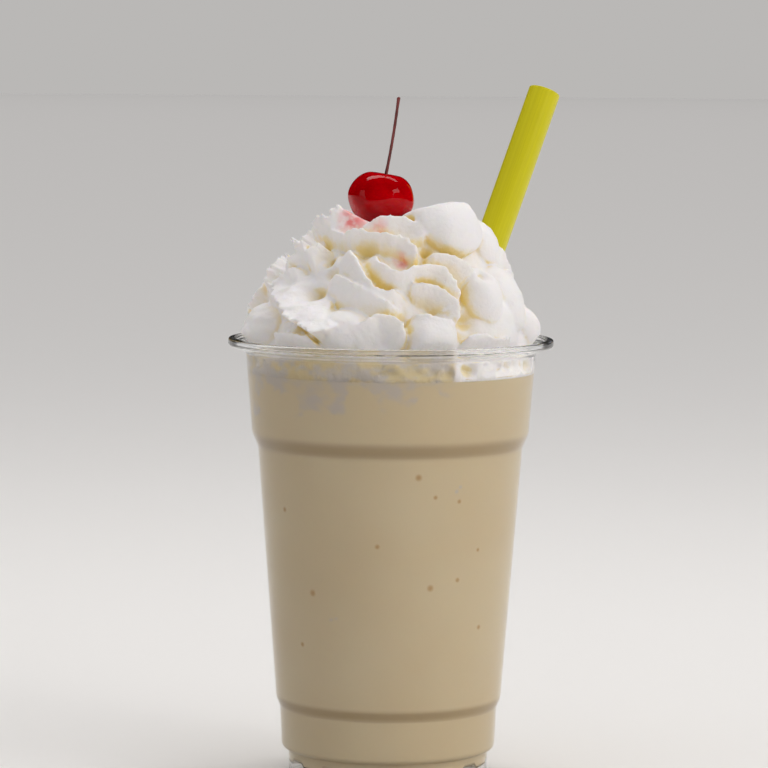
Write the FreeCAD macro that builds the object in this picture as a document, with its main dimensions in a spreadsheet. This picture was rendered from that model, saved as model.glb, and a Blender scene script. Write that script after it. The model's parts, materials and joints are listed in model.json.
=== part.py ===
import FreeCAD, Part

import math
import os

import Sketcher

# A milkshake in a clear thermoformed cup: cup, drink, piped cream, cherry with its stem, and straw.
# Millimetres, +Z up, origin at the centre of the circle on which the cup's foot stands.
# The straw leans to the right (+X) and to the back (+Y).

SIZES = {
    # cup: overall
    "cup_height": 132.6,
    "rim_radius": 49.0,
    "foot_radius": 30.1,
    "wall": 0.5,
    # cup: rim
    "lip_width": 5.3,
    "lip_drop": 3.9,
    "lip_edge": 2.1,
    "lip_round": 0.8,
    "flange": 1.2,
    "bead_width": 2.3,
    "bead_slope": 0.5,
    "bead_rise": 1.6,
    "mouth_round": 1.6,
    # cup: wide band under the rim, and the step below it
    "band_height": 28.4,
    "band_draft": 1.95,
    "band_round": 5.0,
    "upper_step_height": 4.4,
    "upper_step_width": 1.85,
    "crease_round": 1.5,
    # cup: lower step, heel and foot
    "lower_step_base": 20.8,
    "lower_step_height": 3.0,
    "lower_step_width": 1.2,
    "body_round": 3.0,
    "heel_overhang": 2.2,
    "heel_draft": 0.55,
    "heel_round": 1.9,
    "ledge_rise": 0.7,
    "foot_height": 7.9,
    "foot_round": 0.4,
    "floor_height": 4.3,
    # cup: stacking lugs round the floor
    "lug_count": 12,
    "lug_width": 5.0,
    "lug_depth": 3.0,
    "lug_height": 1.2,
    # drink and cream
    "fill_drop": 10.0,
    "cream_height": 40.5,
    "cream_overhang": 1.6,
    "cream_top_radius": 14.5,
    "cream_shoulder": 0.62,
    "swirl_turns": 2.75,
    "swirl_depth": 2.6,
    "lobe_count": 8,
    "lobe_depth": 1.9,
    "lobe_twist": 210.0,
    # cherry
    "cherry_radius": 10.0,
    "cherry_half_height": 8.7,
    "cherry_shift": -3.2,
    "cherry_lean": 9.0,
    "cherry_sink": 7.2,
    "dimple_radius": 3.0,
    "dimple_depth": 1.6,
    "dimple_round": 1.4,
    # stem
    "stem_radius": 0.45,
    "stem_root": 3.0,
    "stem_rise": 26.5,
    "stem_reach": 0.4,
    "stem_tip_radius": 0.7,
    # straw
    "straw_radius": 4.95,
    "straw_wall": 0.35,
    "straw_rise": 74.0,
    "straw_floor_gap": 5.5,
    "straw_heel_gap": 0.9,
    "straw_lip_gap": 5.35,
    "straw_foot_azimuth": 206.0,
    "straw_rim_azimuth": 50.0,
}

SHEET = "sizes"
PARTS_FOLDER = "parts"


class Size:
    """A length or angle as a number and as the formula of sheet cells that gives it."""

    def __init__(self, value, formula):
        self.value = value
        self.formula = formula

    def __add__(self, other):
        other = as_size(other)
        return Size(self.value + other.value, f"({self.formula} + {other.formula})")

    def __sub__(self, other):
        other = as_size(other)
        return Size(self.value - other.value, f"({self.formula} - {other.formula})")

    def __mul__(self, other):
        other = as_size(other)
        return Size(self.value * other.value, f"({self.formula} * {other.formula})")

    def __truediv__(self, other):
        other = as_size(other)
        return Size(self.value / other.value, f"({self.formula} / {other.formula})")


def as_size(thing):
    """A Size, also from a plain number."""
    return thing if isinstance(thing, Size) else Size(float(thing), f"{float(thing):g}")


def size(name):
    """The driving dimension of that name."""
    return Size(SIZES[name], f"{SHEET}.{name}")


def cosine(angle):
    """The cosine of an angle in degrees."""
    return Size(math.cos(math.radians(angle.value)), f"cos({angle.formula} * 1 deg)")


def sine(angle):
    """The sine of an angle in degrees."""
    return Size(math.sin(math.radians(angle.value)), f"sin({angle.formula} * 1 deg)")


def root(number):
    """The square root."""
    return Size(math.sqrt(number.value), f"sqrt({number.formula})")


def bind(thing, **properties):
    """Binds properties to formulas. A double underscore in a name stands for a dot."""
    for name, amount in properties.items():
        thing.setExpression(name.replace("__", "."), as_size(amount).formula)


def add_sheet(doc):
    """The sheet that holds the driving dimensions, one named cell each."""
    sheet = doc.addObject("Spreadsheet::Sheet", SHEET)
    for row, (name, value) in enumerate(SIZES.items(), start=1):
        sheet.set(f"A{row}", name)
        sheet.set(f"B{row}", str(value))
        sheet.setAlias(f"B{row}", name)
    doc.recompute()
    return sheet


def origin_plane(body, role):
    """A body's own XY_Plane, XZ_Plane or YZ_Plane."""
    return next(f for f in body.Origin.OriginFeatures if f.Role == role)


def add_sketch(body, name, role, lift=None):
    """A sketch on one of the body's origin planes, raised along the plane's normal by lift."""
    sketch = body.newObject("Sketcher::SketchObject", name)
    sketch.AttachmentSupport = [(origin_plane(body, role), "")]
    sketch.MapMode = "FlatFace"
    if lift is not None:
        bind(sketch, AttachmentOffset__Base__z=lift)
    return sketch


ORIGIN, H_AXIS, V_AXIS = -1, -1, -2
START, END, CENTRE = 1, 2, 3


def place_point(sketch, geometry, which, x, y):
    """Holds a point at x, y from the sketch's origin, by formulas or on an axis."""
    for kind, axis, amount in (("DistanceX", V_AXIS, x), ("DistanceY", H_AXIS, y)):
        if amount is None:
            sketch.addConstraint(Sketcher.Constraint("PointOnObject", geometry, which, axis))
            continue
        row = sketch.addConstraint(
            Sketcher.Constraint(kind, ORIGIN, START, geometry, which, amount.value)
        )
        label = f"p{geometry + 1}_{which}_{kind[-1].lower()}"
        sketch.renameConstraint(row, label)
        sketch.setExpression(f"Constraints.{label}", amount.formula)


def vector(corner):
    """A corner's place in the sketch's plane."""
    x, y = (0.0 if amount is None else amount.value for amount in corner[:2])
    return FreeCAD.Vector(x, y, 0)


def outline(sketch, corners):
    """Draws a closed outline through corners (x, y, round), where x or y of None lies on an axis.

    A corner with a round gets a tangent arc of that radius, and a sketch point where its sides meet.
    """
    count = len(corners)
    points = [vector(c) for c in corners]
    ways = [(points[(i + 1) % count] - points[i]).normalize() for i in range(count)]
    trims = []
    for i, corner in enumerate(corners):
        turn = ways[i - 1].getAngle(ways[i])
        trims.append(corner[2].value * math.tan(turn / 2) if corner[2] else 0.0)
    lines = []
    for i in range(count):
        start = points[i] + ways[i] * trims[i]
        end = points[(i + 1) % count] - ways[i] * trims[(i + 1) % count]
        lines.append(sketch.addGeometry(Part.LineSegment(start, end), False))
    for i, corner in enumerate(corners):
        before, after = lines[i - 1], lines[i]
        if corner[2]:
            round_corner(sketch, corner, points[i], ways[i - 1], ways[i], before, after)
        else:
            sketch.addConstraint(Sketcher.Constraint("Coincident", before, END, after, START))
            place_point(sketch, after, START, corner[0], corner[1])


def round_corner(sketch, corner, point, way_in, way_out, before, after):
    """The tangent arc at one corner, and the point where its two sides would meet."""
    radius = corner[2]
    turn = way_in.getAngle(way_out)
    left = way_in.cross(way_out).z > 0
    trim = radius.value * math.tan(turn / 2)
    side = FreeCAD.Vector(-way_in.y, way_in.x, 0) * (1 if left else -1)
    centre = point - way_in * trim + side * radius.value
    first, last = point - way_in * trim - centre, point + way_out * trim - centre
    if not left:
        first, last = last, first
    circle = Part.Circle(centre, FreeCAD.Vector(0, 0, 1), radius.value)
    angles = math.atan2(first.y, first.x), math.atan2(last.y, last.x)
    arc = sketch.addGeometry(Part.ArcOfCircle(circle, *angles), False)
    into, out_of = (START, END) if left else (END, START)
    sketch.addConstraint(Sketcher.Constraint("Tangent", before, END, arc, into))
    sketch.addConstraint(Sketcher.Constraint("Tangent", arc, out_of, after, START))
    meeting = sketch.addGeometry(Part.Point(point), True)
    sketch.addConstraint(Sketcher.Constraint("PointOnObject", meeting, START, before))
    sketch.addConstraint(Sketcher.Constraint("PointOnObject", meeting, START, after))
    place_point(sketch, meeting, START, corner[0], corner[1])
    row = sketch.addConstraint(Sketcher.Constraint("Radius", arc, radius.value))
    sketch.renameConstraint(row, f"round{arc}")
    sketch.setExpression(f"Constraints.round{arc}", radius.formula)


def revolve(body, name, corners):
    """Turns an outline in the XZ plane a full turn about Z."""
    sketch = add_sketch(body, f"{name}_outline", "XZ_Plane")
    outline(sketch, corners)
    turned = body.newObject("PartDesign::Revolution", name)
    turned.Profile = sketch
    turned.ReferenceAxis = (sketch, ["V_Axis"])
    turned.Angle = 360
    return turned


def rectangle(sketch, low_x, high_x, half_width):
    """A rectangle from low_x to high_x, and half_width to each side of the X axis."""
    corners = [(low_x, -1), (high_x, -1), (high_x, 1), (low_x, 1)]
    points = [FreeCAD.Vector(x.value, side * half_width.value, 0) for x, side in corners]
    lines = [
        sketch.addGeometry(Part.LineSegment(points[i], points[(i + 1) % 4]), False)
        for i in range(4)
    ]
    for i in range(4):
        after = lines[(i + 1) % 4]
        sketch.addConstraint(Sketcher.Constraint("Coincident", lines[i], END, after, START))
        sketch.addConstraint(Sketcher.Constraint("Vertical" if i % 2 else "Horizontal", lines[i]))
    place_point(sketch, lines[0], START, low_x, as_size(0) - half_width)
    place_point(sketch, lines[2], START, high_x, half_width)


def cup_skin(inset):
    """The cup's outer skin from foot to mouth, as corners moved in and up by inset."""
    foot = size("foot_radius")
    heel = foot + size("heel_overhang")
    waist = heel + size("heel_draft")
    mouth = size("rim_radius") - size("lip_width")
    band = mouth - size("band_draft")
    band_base = size("cup_height") - size("band_height")
    corners = [
        (foot, size("foot_height"), size("foot_round")),
        (heel, size("foot_height") + size("ledge_rise"), size("heel_round")),
        (waist, size("lower_step_base"), size("crease_round")),
        (
            waist + size("lower_step_width"),
            size("lower_step_base") + size("lower_step_height"),
            size("body_round"),
        ),
        (
            band - size("upper_step_width"),
            band_base - size("upper_step_height"),
            size("crease_round"),
        ),
        (band, band_base, size("band_round")),
        (mouth, size("cup_height") - size("lip_drop"), size("mouth_round")),
    ]
    return [(x - inset, z + inset, turn) for x, z, turn in corners]


def cup_outline():
    """The cup's wall, rim and floor as one closed outline."""
    wall, top, rim = size("wall"), size("cup_height"), size("rim_radius")
    foot, floor = size("foot_radius"), size("floor_height")
    bead = rim - size("bead_width")
    inner = cup_skin(wall)
    inner_mouth = (
        size("rim_radius") - size("lip_width") - wall,
        top - size("lip_drop") + size("flange"),
        size("mouth_round"),
    )
    return [
        (None, floor, None),
        (foot - wall, floor, None),
        (foot - wall, None, None),
        (foot, None, None),
        *cup_skin(as_size(0)),
        (rim, top - size("lip_edge"), size("lip_round")),
        (rim, top, size("lip_round")),
        (bead, top, size("lip_round")),
        (bead - size("bead_slope"), top - size("bead_rise"), size("lip_round") / 2),
        inner_mouth,
        *reversed(inner[:-1]),
        (foot - wall, floor + wall, None),
        (None, floor + wall, None),
    ]


def ring_of_lugs(body, name, kind, lift, low_x, high_x, half_width, height):
    """A block, or a pocket of that shape, repeated round the axis."""
    sketch = add_sketch(body, f"{name}_outline", "XY_Plane", lift)
    rectangle(sketch, low_x, high_x, half_width)
    block = body.newObject(kind, name)
    block.Profile = sketch
    block.Reversed = kind == "PartDesign::Pocket"
    bind(block, Length=height)
    body.Document.recompute()
    pattern = body.newObject("PartDesign::PolarPattern", f"{name}_ring")
    pattern.Originals = [block]
    pattern.Axis = (sketch, ["N_Axis"])
    pattern.Angle = 360
    bind(pattern, Occurrences=size("lug_count"))
    body.Tip = pattern
    body.Document.recompute()


def lug_block(skin=0.0):
    """One lug's base, inner and outer end, half width and height, or its hollow's, a skin smaller."""
    skin = as_size(skin)
    inside = size("foot_radius") - size("wall")
    return (
        size("floor_height") + size("wall") - skin,
        inside - size("lug_depth") + skin,
        inside + size("wall") / 2 - skin * 1.5,
        size("lug_width") / 2 - skin,
        size("lug_height"),
    )


def make_cup(doc):
    """The clear cup: one thin wall with two steps, a rolled rim, a foot ring and stacking lugs."""
    body = doc.addObject("PartDesign::Body", "cup")
    revolve(body, "cup_wall", cup_outline())
    doc.recompute()
    ring_of_lugs(body, "lug", "PartDesign::Pad", *lug_block())
    ring_of_lugs(body, "lug_hollow", "PartDesign::Pocket", *lug_block(size("wall")))
    return body


def straw_points():
    """The ends of the straw's centre line: near the cup's heel, and in the air."""
    lip = size("rim_radius") - size("lip_width") - size("wall")
    foot_reach = (
        size("foot_radius") - size("wall") - size("straw_radius") - size("straw_heel_gap")
    ) + size("heel_overhang") / 2
    rim_reach = lip - size("straw_radius") - size("straw_lip_gap")
    foot_z = size("floor_height") + size("wall") + size("straw_floor_gap")
    rim_z = size("cup_height")
    foot_turn, rim_turn = size("straw_foot_azimuth"), size("straw_rim_azimuth")
    foot = (foot_reach * cosine(foot_turn), foot_reach * sine(foot_turn), foot_z)
    rim = (rim_reach * cosine(rim_turn), rim_reach * sine(rim_turn), rim_z)
    grow = (rim_z + size("straw_rise") - foot_z) / (rim_z - foot_z)
    tip = tuple(a + (b - a) * grow for a, b in zip(foot, rim))
    return foot, tip


def lay_on_line(thing, start, end):
    """Turns a thing that stands on Z at the origin, so that it stands at start and points at end."""
    run = [b - a for a, b in zip(start, end)]
    length = root(run[0] * run[0] + run[1] * run[1] + run[2] * run[2])
    flat = root(run[0] * run[0] + run[1] * run[1])
    bind(
        thing,
        Placement__Base__x=start[0],
        Placement__Base__y=start[1],
        Placement__Base__z=start[2],
        Placement__Rotation__Axis__x=as_size(0) - run[1] / flat,
        Placement__Rotation__Axis__y=run[0] / flat,
        Placement__Rotation__Axis__z=as_size(0),
    )
    thing.setExpression(
        "Placement.Rotation.Angle", f"acos({run[2].formula} / {length.formula})"
    )
    return length


def add_circle(sketch, radius):
    """A circle about the sketch's origin."""
    circle = Part.Circle(FreeCAD.Vector(0, 0, 0), FreeCAD.Vector(0, 0, 1), radius.value)
    drawn = sketch.addGeometry(circle, False)
    sketch.addConstraint(Sketcher.Constraint("Coincident", drawn, CENTRE, ORIGIN, START))
    row = sketch.addConstraint(Sketcher.Constraint("Radius", drawn, radius.value))
    sketch.renameConstraint(row, f"radius{drawn}")
    sketch.setExpression(f"Constraints.radius{drawn}", radius.formula)


def make_straw(doc):
    """The straw: a straight tube, open at both ends."""
    body = doc.addObject("PartDesign::Body", "straw")
    sketch = add_sketch(body, "straw_section", "XY_Plane")
    add_circle(sketch, size("straw_radius"))
    add_circle(sketch, size("straw_radius") - size("straw_wall"))
    tube = body.newObject("PartDesign::Pad", "straw_tube")
    tube.Profile = sketch
    bind(tube, Length=lay_on_line(body, *straw_points()))
    return body


def make_straw_room(doc):
    """The full cylinder that the straw takes out of the cream."""
    room = doc.addObject("Part::Cylinder", "straw_room")
    bind(room, Radius=size("straw_radius"), Height=lay_on_line(room, *straw_points()))
    return room


def make_drink(doc, straw):
    """The milkshake: all of the cup's inside up to its level, also inside the straw."""
    body = doc.addObject("PartDesign::Body", "drink_body")
    level = size("cup_height") - size("fill_drop")
    base = size("floor_height") + size("wall")
    skin = cup_skin(size("wall"))
    revolve(
        body,
        "drink_shape",
        [
            (None, base, None),
            (size("foot_radius") - size("wall"), base, None),
            *skin[:-1],
            (drink_edge(skin, level), level, None),
            (None, level, None),
        ],
    )
    doc.recompute()
    ring_of_lugs(body, "lug_print", "PartDesign::Pocket", *lug_block())
    drink = doc.addObject("Part::Cut", "milkshake")
    drink.Base, drink.Tool = body, straw
    return drink


def drink_edge(skin, level):
    """The radius of the middle of the band's wall at a level."""
    (low_x, low_z, _), (high_x, high_z, _) = skin[-2:]
    return low_x + (high_x - low_x) * (level - low_z) / (high_z - low_z)


CREAM_COLUMNS = 96
CREAM_ROWS = 26
FADE_ROWS = 4


def cream_ring(radius_at, height):
    """One closed row of control points."""
    turns = [2 * math.pi * i / CREAM_COLUMNS for i in range(CREAM_COLUMNS)]
    return [
        FreeCAD.Vector(radius_at(a) * math.cos(a), radius_at(a) * math.sin(a), height)
        for a in turns
    ]


def swirl_radius(sheet, share, turn):
    """The piped mound's radius at a share of its height and an angle: coils, with ribs across them."""
    start = sheet.rim_radius - sheet.lip_width + sheet.cream_overhang
    fall = share * sheet.cream_shoulder + share**3 * (1 - sheet.cream_shoulder)
    envelope = start + (sheet.cream_top_radius - start) * fall
    coil = abs(math.sin(math.pi * (sheet.swirl_turns * share + turn / (2 * math.pi))))
    twist = math.radians(sheet.lobe_twist) * share
    rib = abs(math.cos((sheet.lobe_count * turn + sheet.lobe_count * twist) / 2))
    return envelope - sheet.swirl_depth * (1 - coil**0.6) - sheet.lobe_depth * (1 - rib)


def make_cream_blank(doc, sheet):
    """The piped cream as one solid, reaching into the middle of the cup's wall below the rim."""
    half = sheet.wall / 2
    mouth = sheet.rim_radius - sheet.lip_width - half
    level = sheet.cup_height - sheet.fill_drop
    shoulder = sheet.cup_height - sheet.lip_drop
    band_z = sheet.cup_height - sheet.band_height
    slope = sheet.band_draft / (shoulder - band_z)
    rings = []
    for share in (0.0, 0.35, 0.7, 1.0):
        z = level + (shoulder - level) * share
        edge = mouth - (shoulder + half - z) * slope
        rings.append(cream_ring(lambda turn, edge=edge: edge, z))
    neck = sheet.rim_radius - sheet.lip_width + sheet.cream_overhang * 0.75
    rings.append(cream_ring(lambda turn: neck, shoulder + sheet.flange * 0.9))
    start = sheet.cup_height - sheet.lip_drop + sheet.flange * 1.6
    top = sheet.cup_height + sheet.cream_height
    for row in range(CREAM_ROWS):
        share = row / (CREAM_ROWS - 1)
        ruffle = min(1.0, (row + 0.5) / FADE_ROWS)
        smooth = sheet.rim_radius - sheet.lip_width + sheet.cream_overhang

        def radius_at(turn, share=share, ruffle=ruffle):
            return smooth + (swirl_radius(sheet, share, turn) - smooth) * max(ruffle, share)

        rings.append(cream_ring(radius_at, start + (top - start) * share))
    return add_shape(doc, "cream_blank", ring_solid(rings))


def ring_solid(rings):
    """A closed solid whose side is one smooth surface led by rings, with flat ends."""
    columns, rows, degree = len(rings[0]), len(rings), 3
    poles = [[rings[row][column] for row in range(rows)] for column in range(columns)]
    spans = rows - degree
    side = Part.BSplineSurface()
    side.buildFromPolesMultsKnots(
        poles,
        [1] * (columns + 1),
        [degree + 1] + [1] * (spans - 1) + [degree + 1],
        [float(i) for i in range(columns + 1)],
        [float(i) for i in range(spans + 1)],
        True,
        False,
        degree,
        degree,
    )
    wall = side.toShape()
    ends = []
    for height in (rings[0][0].z, rings[-1][0].z):
        edges = [
            e
            for e in wall.Edges
            if abs(e.BoundBox.ZMin - height) < 1e-4 and abs(e.BoundBox.ZMax - height) < 1e-4
        ]
        ends.append(Part.Face(Part.Wire(edges)))
    shell = Part.makeShell([wall, *ends])
    shell.sewShape()
    solid = Part.Solid(shell)
    solid.fix(1e-6, 1e-6, 1e-6)
    return solid


def add_shape(doc, name, shape):
    """A shape made by Part's own functions, as an object of the document."""
    feature = doc.addObject("Part::Feature", name)
    feature.Shape = shape
    return feature


def cherry_centre():
    """The middle of the cherry, sunk into the top of the cream."""
    top = size("cup_height") + size("cream_height")
    return (
        size("cherry_shift"),
        as_size(0),
        top + size("cherry_half_height") - size("cherry_sink"),
    )


def lean_with_cherry(thing, centre):
    """Places a thing that stands on the cherry's middle, leaning to the right as the cherry does."""
    bind(
        thing,
        Placement__Base__x=centre[0],
        Placement__Base__y=centre[1],
        Placement__Base__z=centre[2],
        Placement__Rotation__Axis__x=as_size(0),
        Placement__Rotation__Axis__y=as_size(1),
        Placement__Rotation__Axis__z=as_size(0),
    )
    thing.setExpression("Placement.Rotation.Angle", size("cherry_lean").formula)


def stem_start():
    """How high above the cherry's middle the stem begins, inside the flesh."""
    return size("cherry_half_height") - size("dimple_depth") - size("stem_root")


def make_stem(doc):
    """The cherry's stem: a thin round stalk with a slight bend and a thicker tip."""
    stalk = doc.addObject("PartDesign::Body", "stalk")
    start = stem_start()
    straight = start + size("stem_root") * 2
    end_x, end_z = size("stem_reach"), start + size("stem_rise")
    path = add_sketch(stalk, "stem_path", "XZ_Plane")
    low, bend, end = (
        FreeCAD.Vector(0, start.value, 0),
        FreeCAD.Vector(0, straight.value, 0),
        FreeCAD.Vector(end_x.value, end_z.value, 0),
    )
    chord = end - bend
    radius = chord.Length**2 / (2 * chord.x)
    centre = FreeCAD.Vector(radius, straight.value, 0)
    circle = Part.Circle(centre, FreeCAD.Vector(0, 0, 1), radius)
    high_angle = math.atan2(end.y - centre.y, end.x - centre.x)
    root_line = path.addGeometry(Part.LineSegment(low, bend), False)
    arc = path.addGeometry(Part.ArcOfCircle(circle, high_angle, math.pi), False)
    path.addConstraint(Sketcher.Constraint("Tangent", root_line, END, arc, END))
    place_point(path, root_line, START, None, start)
    place_point(path, root_line, END, None, straight)
    place_point(path, arc, START, end_x, end_z)
    section = add_sketch(stalk, "stem_section", "XY_Plane", start)
    add_circle(section, size("stem_radius"))
    pipe = stalk.newObject("PartDesign::AdditivePipe", "stem_pipe")
    pipe.Profile = section
    pipe.Spine = (path, ["Edge1", "Edge2"])
    tip = doc.addObject("Part::Ellipsoid", "stem_tip")
    bind(
        tip,
        Radius1=size("stem_tip_radius") * 1.2,
        Radius2=size("stem_tip_radius"),
        Radius3=size("stem_tip_radius"),
        Placement__Base__x=end_x,
        Placement__Base__z=end_z,
    )
    tip.Angle1, tip.Angle2, tip.Angle3 = -90, 90, 360
    stem = doc.addObject("Part::Fuse", "cherry_stem")
    stem.Base, stem.Tool = stalk, tip
    lean_with_cherry(stem, cherry_centre())
    return stem


def make_cherry(doc, stem):
    """The cherry: a flattened ball with a dimple at its top, where the stem goes in."""
    ball = doc.addObject("Part::Ellipsoid", "cherry_ball")
    bind(
        ball,
        Radius1=size("cherry_half_height"),
        Radius2=size("cherry_radius"),
        Radius3=size("cherry_radius"),
    )
    ball.Angle1, ball.Angle2, ball.Angle3 = -90, 90, 360
    bowl = doc.addObject("Part::Sphere", "dimple_bowl")
    depth, half_width = size("dimple_depth"), size("dimple_radius")
    bowl_radius = (half_width * half_width + depth * depth) / (depth * 2)
    bind(
        bowl,
        Radius=bowl_radius,
        Placement__Base__z=size("cherry_half_height") - depth + bowl_radius,
    )
    dimpled = doc.addObject("Part::Cut", "cherry_dimpled")
    dimpled.Base, dimpled.Tool = ball, bowl
    doc.recompute()
    rounded = doc.addObject("Part::Fillet", "cherry_rounded")
    rounded.Base = dimpled
    radius = SIZES["dimple_round"]
    rounded.Edges = [
        (row, radius, radius)
        for row, edge in enumerate(dimpled.Shape.Edges, start=1)
        if edge.BoundBox.ZMin > SIZES["cherry_half_height"] / 2 and edge.isClosed()
    ]
    lean_with_cherry(rounded, cherry_centre())
    cherry = doc.addObject("Part::Cut", "cherry")
    cherry.Base, cherry.Tool = rounded, stem
    return cherry, rounded


def make_cream(doc, sheet, cup, straw_room, cherry_body):
    """The whipped cream, cut round the cup's rim, the straw and the cherry."""
    cream = make_cream_blank(doc, sheet)
    for name, tool in (
        ("cream_in_cup", cup),
        ("cream_round_straw", straw_room),
        ("whipped_cream", cherry_body),
    ):
        cut = doc.addObject("Part::Cut", name)
        cut.Base, cut.Tool = cream, tool
        cream = cut
    return cream


def check(doc, parts):
    """Stops the build if any object failed, or if a part isn't one valid solid."""
    failed = [o.Name for o in doc.Objects if {"Invalid", "Error"} & set(o.State)]
    if failed:
        raise RuntimeError(f"these objects failed: {failed}")
    for part in parts:
        shape = part.Shape
        if shape.isNull() or not shape.isValid() or len(shape.Solids) != 1:
            raise RuntimeError(f"{part.Name} isn't one valid solid: {len(shape.Solids)} solids")
        print(f"{part.Name}: {shape.Volume / 1000:.2f} cm3")


def main():
    """Builds the document and writes one STEP file for each piece."""
    doc = FreeCAD.newDocument("milkshake")
    sheet = add_sheet(doc)
    cup = make_cup(doc)
    straw = make_straw(doc)
    stem = make_stem(doc)
    cherry, cherry_body = make_cherry(doc, stem)
    doc.recompute()
    drink = make_drink(doc, straw)
    cream = make_cream(doc, sheet, cup, make_straw_room(doc), cherry_body)
    doc.recompute()
    parts = [cup, drink, cream, cherry, stem, straw]
    check(doc, parts)
    os.makedirs(PARTS_FOLDER, exist_ok=True)
    for part in parts:
        part.Label = part.Name
        part.Shape.exportStep(os.path.join(PARTS_FOLDER, f"{part.Label}.step"))


main()
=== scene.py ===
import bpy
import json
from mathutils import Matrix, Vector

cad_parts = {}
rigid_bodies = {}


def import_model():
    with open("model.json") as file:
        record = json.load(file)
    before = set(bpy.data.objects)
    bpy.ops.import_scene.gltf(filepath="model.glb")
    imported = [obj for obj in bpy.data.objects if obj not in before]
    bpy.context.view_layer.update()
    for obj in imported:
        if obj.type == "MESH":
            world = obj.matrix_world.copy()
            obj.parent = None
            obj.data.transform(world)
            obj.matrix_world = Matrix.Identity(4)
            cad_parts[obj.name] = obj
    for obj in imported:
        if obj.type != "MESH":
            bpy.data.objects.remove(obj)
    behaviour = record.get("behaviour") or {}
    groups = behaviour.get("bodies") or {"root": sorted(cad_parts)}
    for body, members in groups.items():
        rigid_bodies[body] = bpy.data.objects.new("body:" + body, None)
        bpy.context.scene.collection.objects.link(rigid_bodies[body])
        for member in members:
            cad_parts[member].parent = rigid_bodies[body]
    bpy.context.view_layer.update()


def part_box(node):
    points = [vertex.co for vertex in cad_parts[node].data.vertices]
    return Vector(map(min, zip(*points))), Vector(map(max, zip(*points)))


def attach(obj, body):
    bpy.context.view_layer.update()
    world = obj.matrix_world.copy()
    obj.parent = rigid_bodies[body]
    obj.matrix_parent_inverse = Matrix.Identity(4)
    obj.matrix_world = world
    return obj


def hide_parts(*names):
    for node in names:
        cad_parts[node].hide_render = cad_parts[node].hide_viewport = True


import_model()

import json
import logging
import math
from dataclasses import dataclass, field, replace
from enum import Enum
from typing import Callable, Sequence

import bpy
import numpy as np
from mathutils import Matrix, Vector
from mathutils.bvhtree import BVHTree

log = logging.getLogger("milkshake")

MM = 0.001
BODY = "root"
Profile = list[tuple[float, float]]
Corner = tuple[float, float, float]

# How far to the right the smears under the rim, and the painted shade on the cream under the rim, fade
# out, in metres.
SMEAR_AND_RIM_SHADE_END = (0.0195, 0.0175)


# ---------------------------------------------------------------- tools for shapes


def select_only(piece: bpy.types.Object) -> None:
    """Makes a piece the active and the only selected object.

    Args:
        piece: The object to select.
    """
    bpy.ops.object.select_all(action="DESELECT")
    piece.select_set(True)
    bpy.context.view_layer.objects.active = piece


def apply_place(piece: bpy.types.Object) -> None:
    """Moves an object's place, turn and scale into its mesh.

    Args:
        piece: The object to settle at the origin.
    """
    select_only(piece)
    bpy.ops.object.transform_apply(location=True, rotation=True, scale=True)


def apply_modifier(piece: bpy.types.Object, kind: str, **settings: object) -> None:
    """Adds a modifier, sets it and applies it.

    Args:
        piece: The object to change.
        kind: The modifier's type, such as "SMOOTH".
        **settings: The modifier's own properties.
    """
    select_only(piece)
    modifier = piece.modifiers.new(kind.title(), kind)
    for name, value in settings.items():
        setattr(modifier, name, value)
    bpy.ops.object.modifier_apply(modifier=modifier.name)


def shade_smooth(piece: bpy.types.Object, degrees: float = 35.0) -> None:
    """Shades a piece smooth wherever its faces turn by less than an angle.

    Args:
        piece: The object to shade.
        degrees: The largest turn that still looks smooth.
    """
    select_only(piece)
    bpy.ops.object.shade_smooth_by_angle(angle=math.radians(degrees))


def finish_piece(piece: bpy.types.Object, material: bpy.types.Material, node: str) -> None:
    """Dresses a piece, puts it on the body and lets it stand for its CAD node.

    Args:
        piece: The finished mesh object.
        material: What covers it.
        node: The CAD node that it replaces.
    """
    piece.data.materials.clear()
    piece.data.materials.append(material)
    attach(piece, BODY)
    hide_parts(node)


def rounded(corners: Sequence[Corner], steps: int = 6) -> Profile:
    """Turns corners with radii into the points of a smooth profile.

    Args:
        corners: Radius, height and rounding of each corner, in millimetres.
        steps: Points on each rounding's arc, less one.

    Returns:
        The profile's points as radius and height.
    """
    points: Profile = []
    last = len(corners) - 1
    for row, (x, z, turn) in enumerate(corners):
        if turn <= 0 or row in (0, last):
            points.append((x, z))
            continue
        here = Vector((x, z))
        before = (Vector(corners[row - 1][:2]) - here).normalized()
        after = (Vector(corners[row + 1][:2]) - here).normalized()
        half = before.angle(after) / 2
        trim = turn / math.tan(half)
        start, end = here + before * trim, here + after * trim
        for step in range(steps + 1):
            share = step / steps
            bow = start.lerp(here, share).lerp(here.lerp(end, share), share)
            points.append((bow.x, bow.y))
    return points


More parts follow.
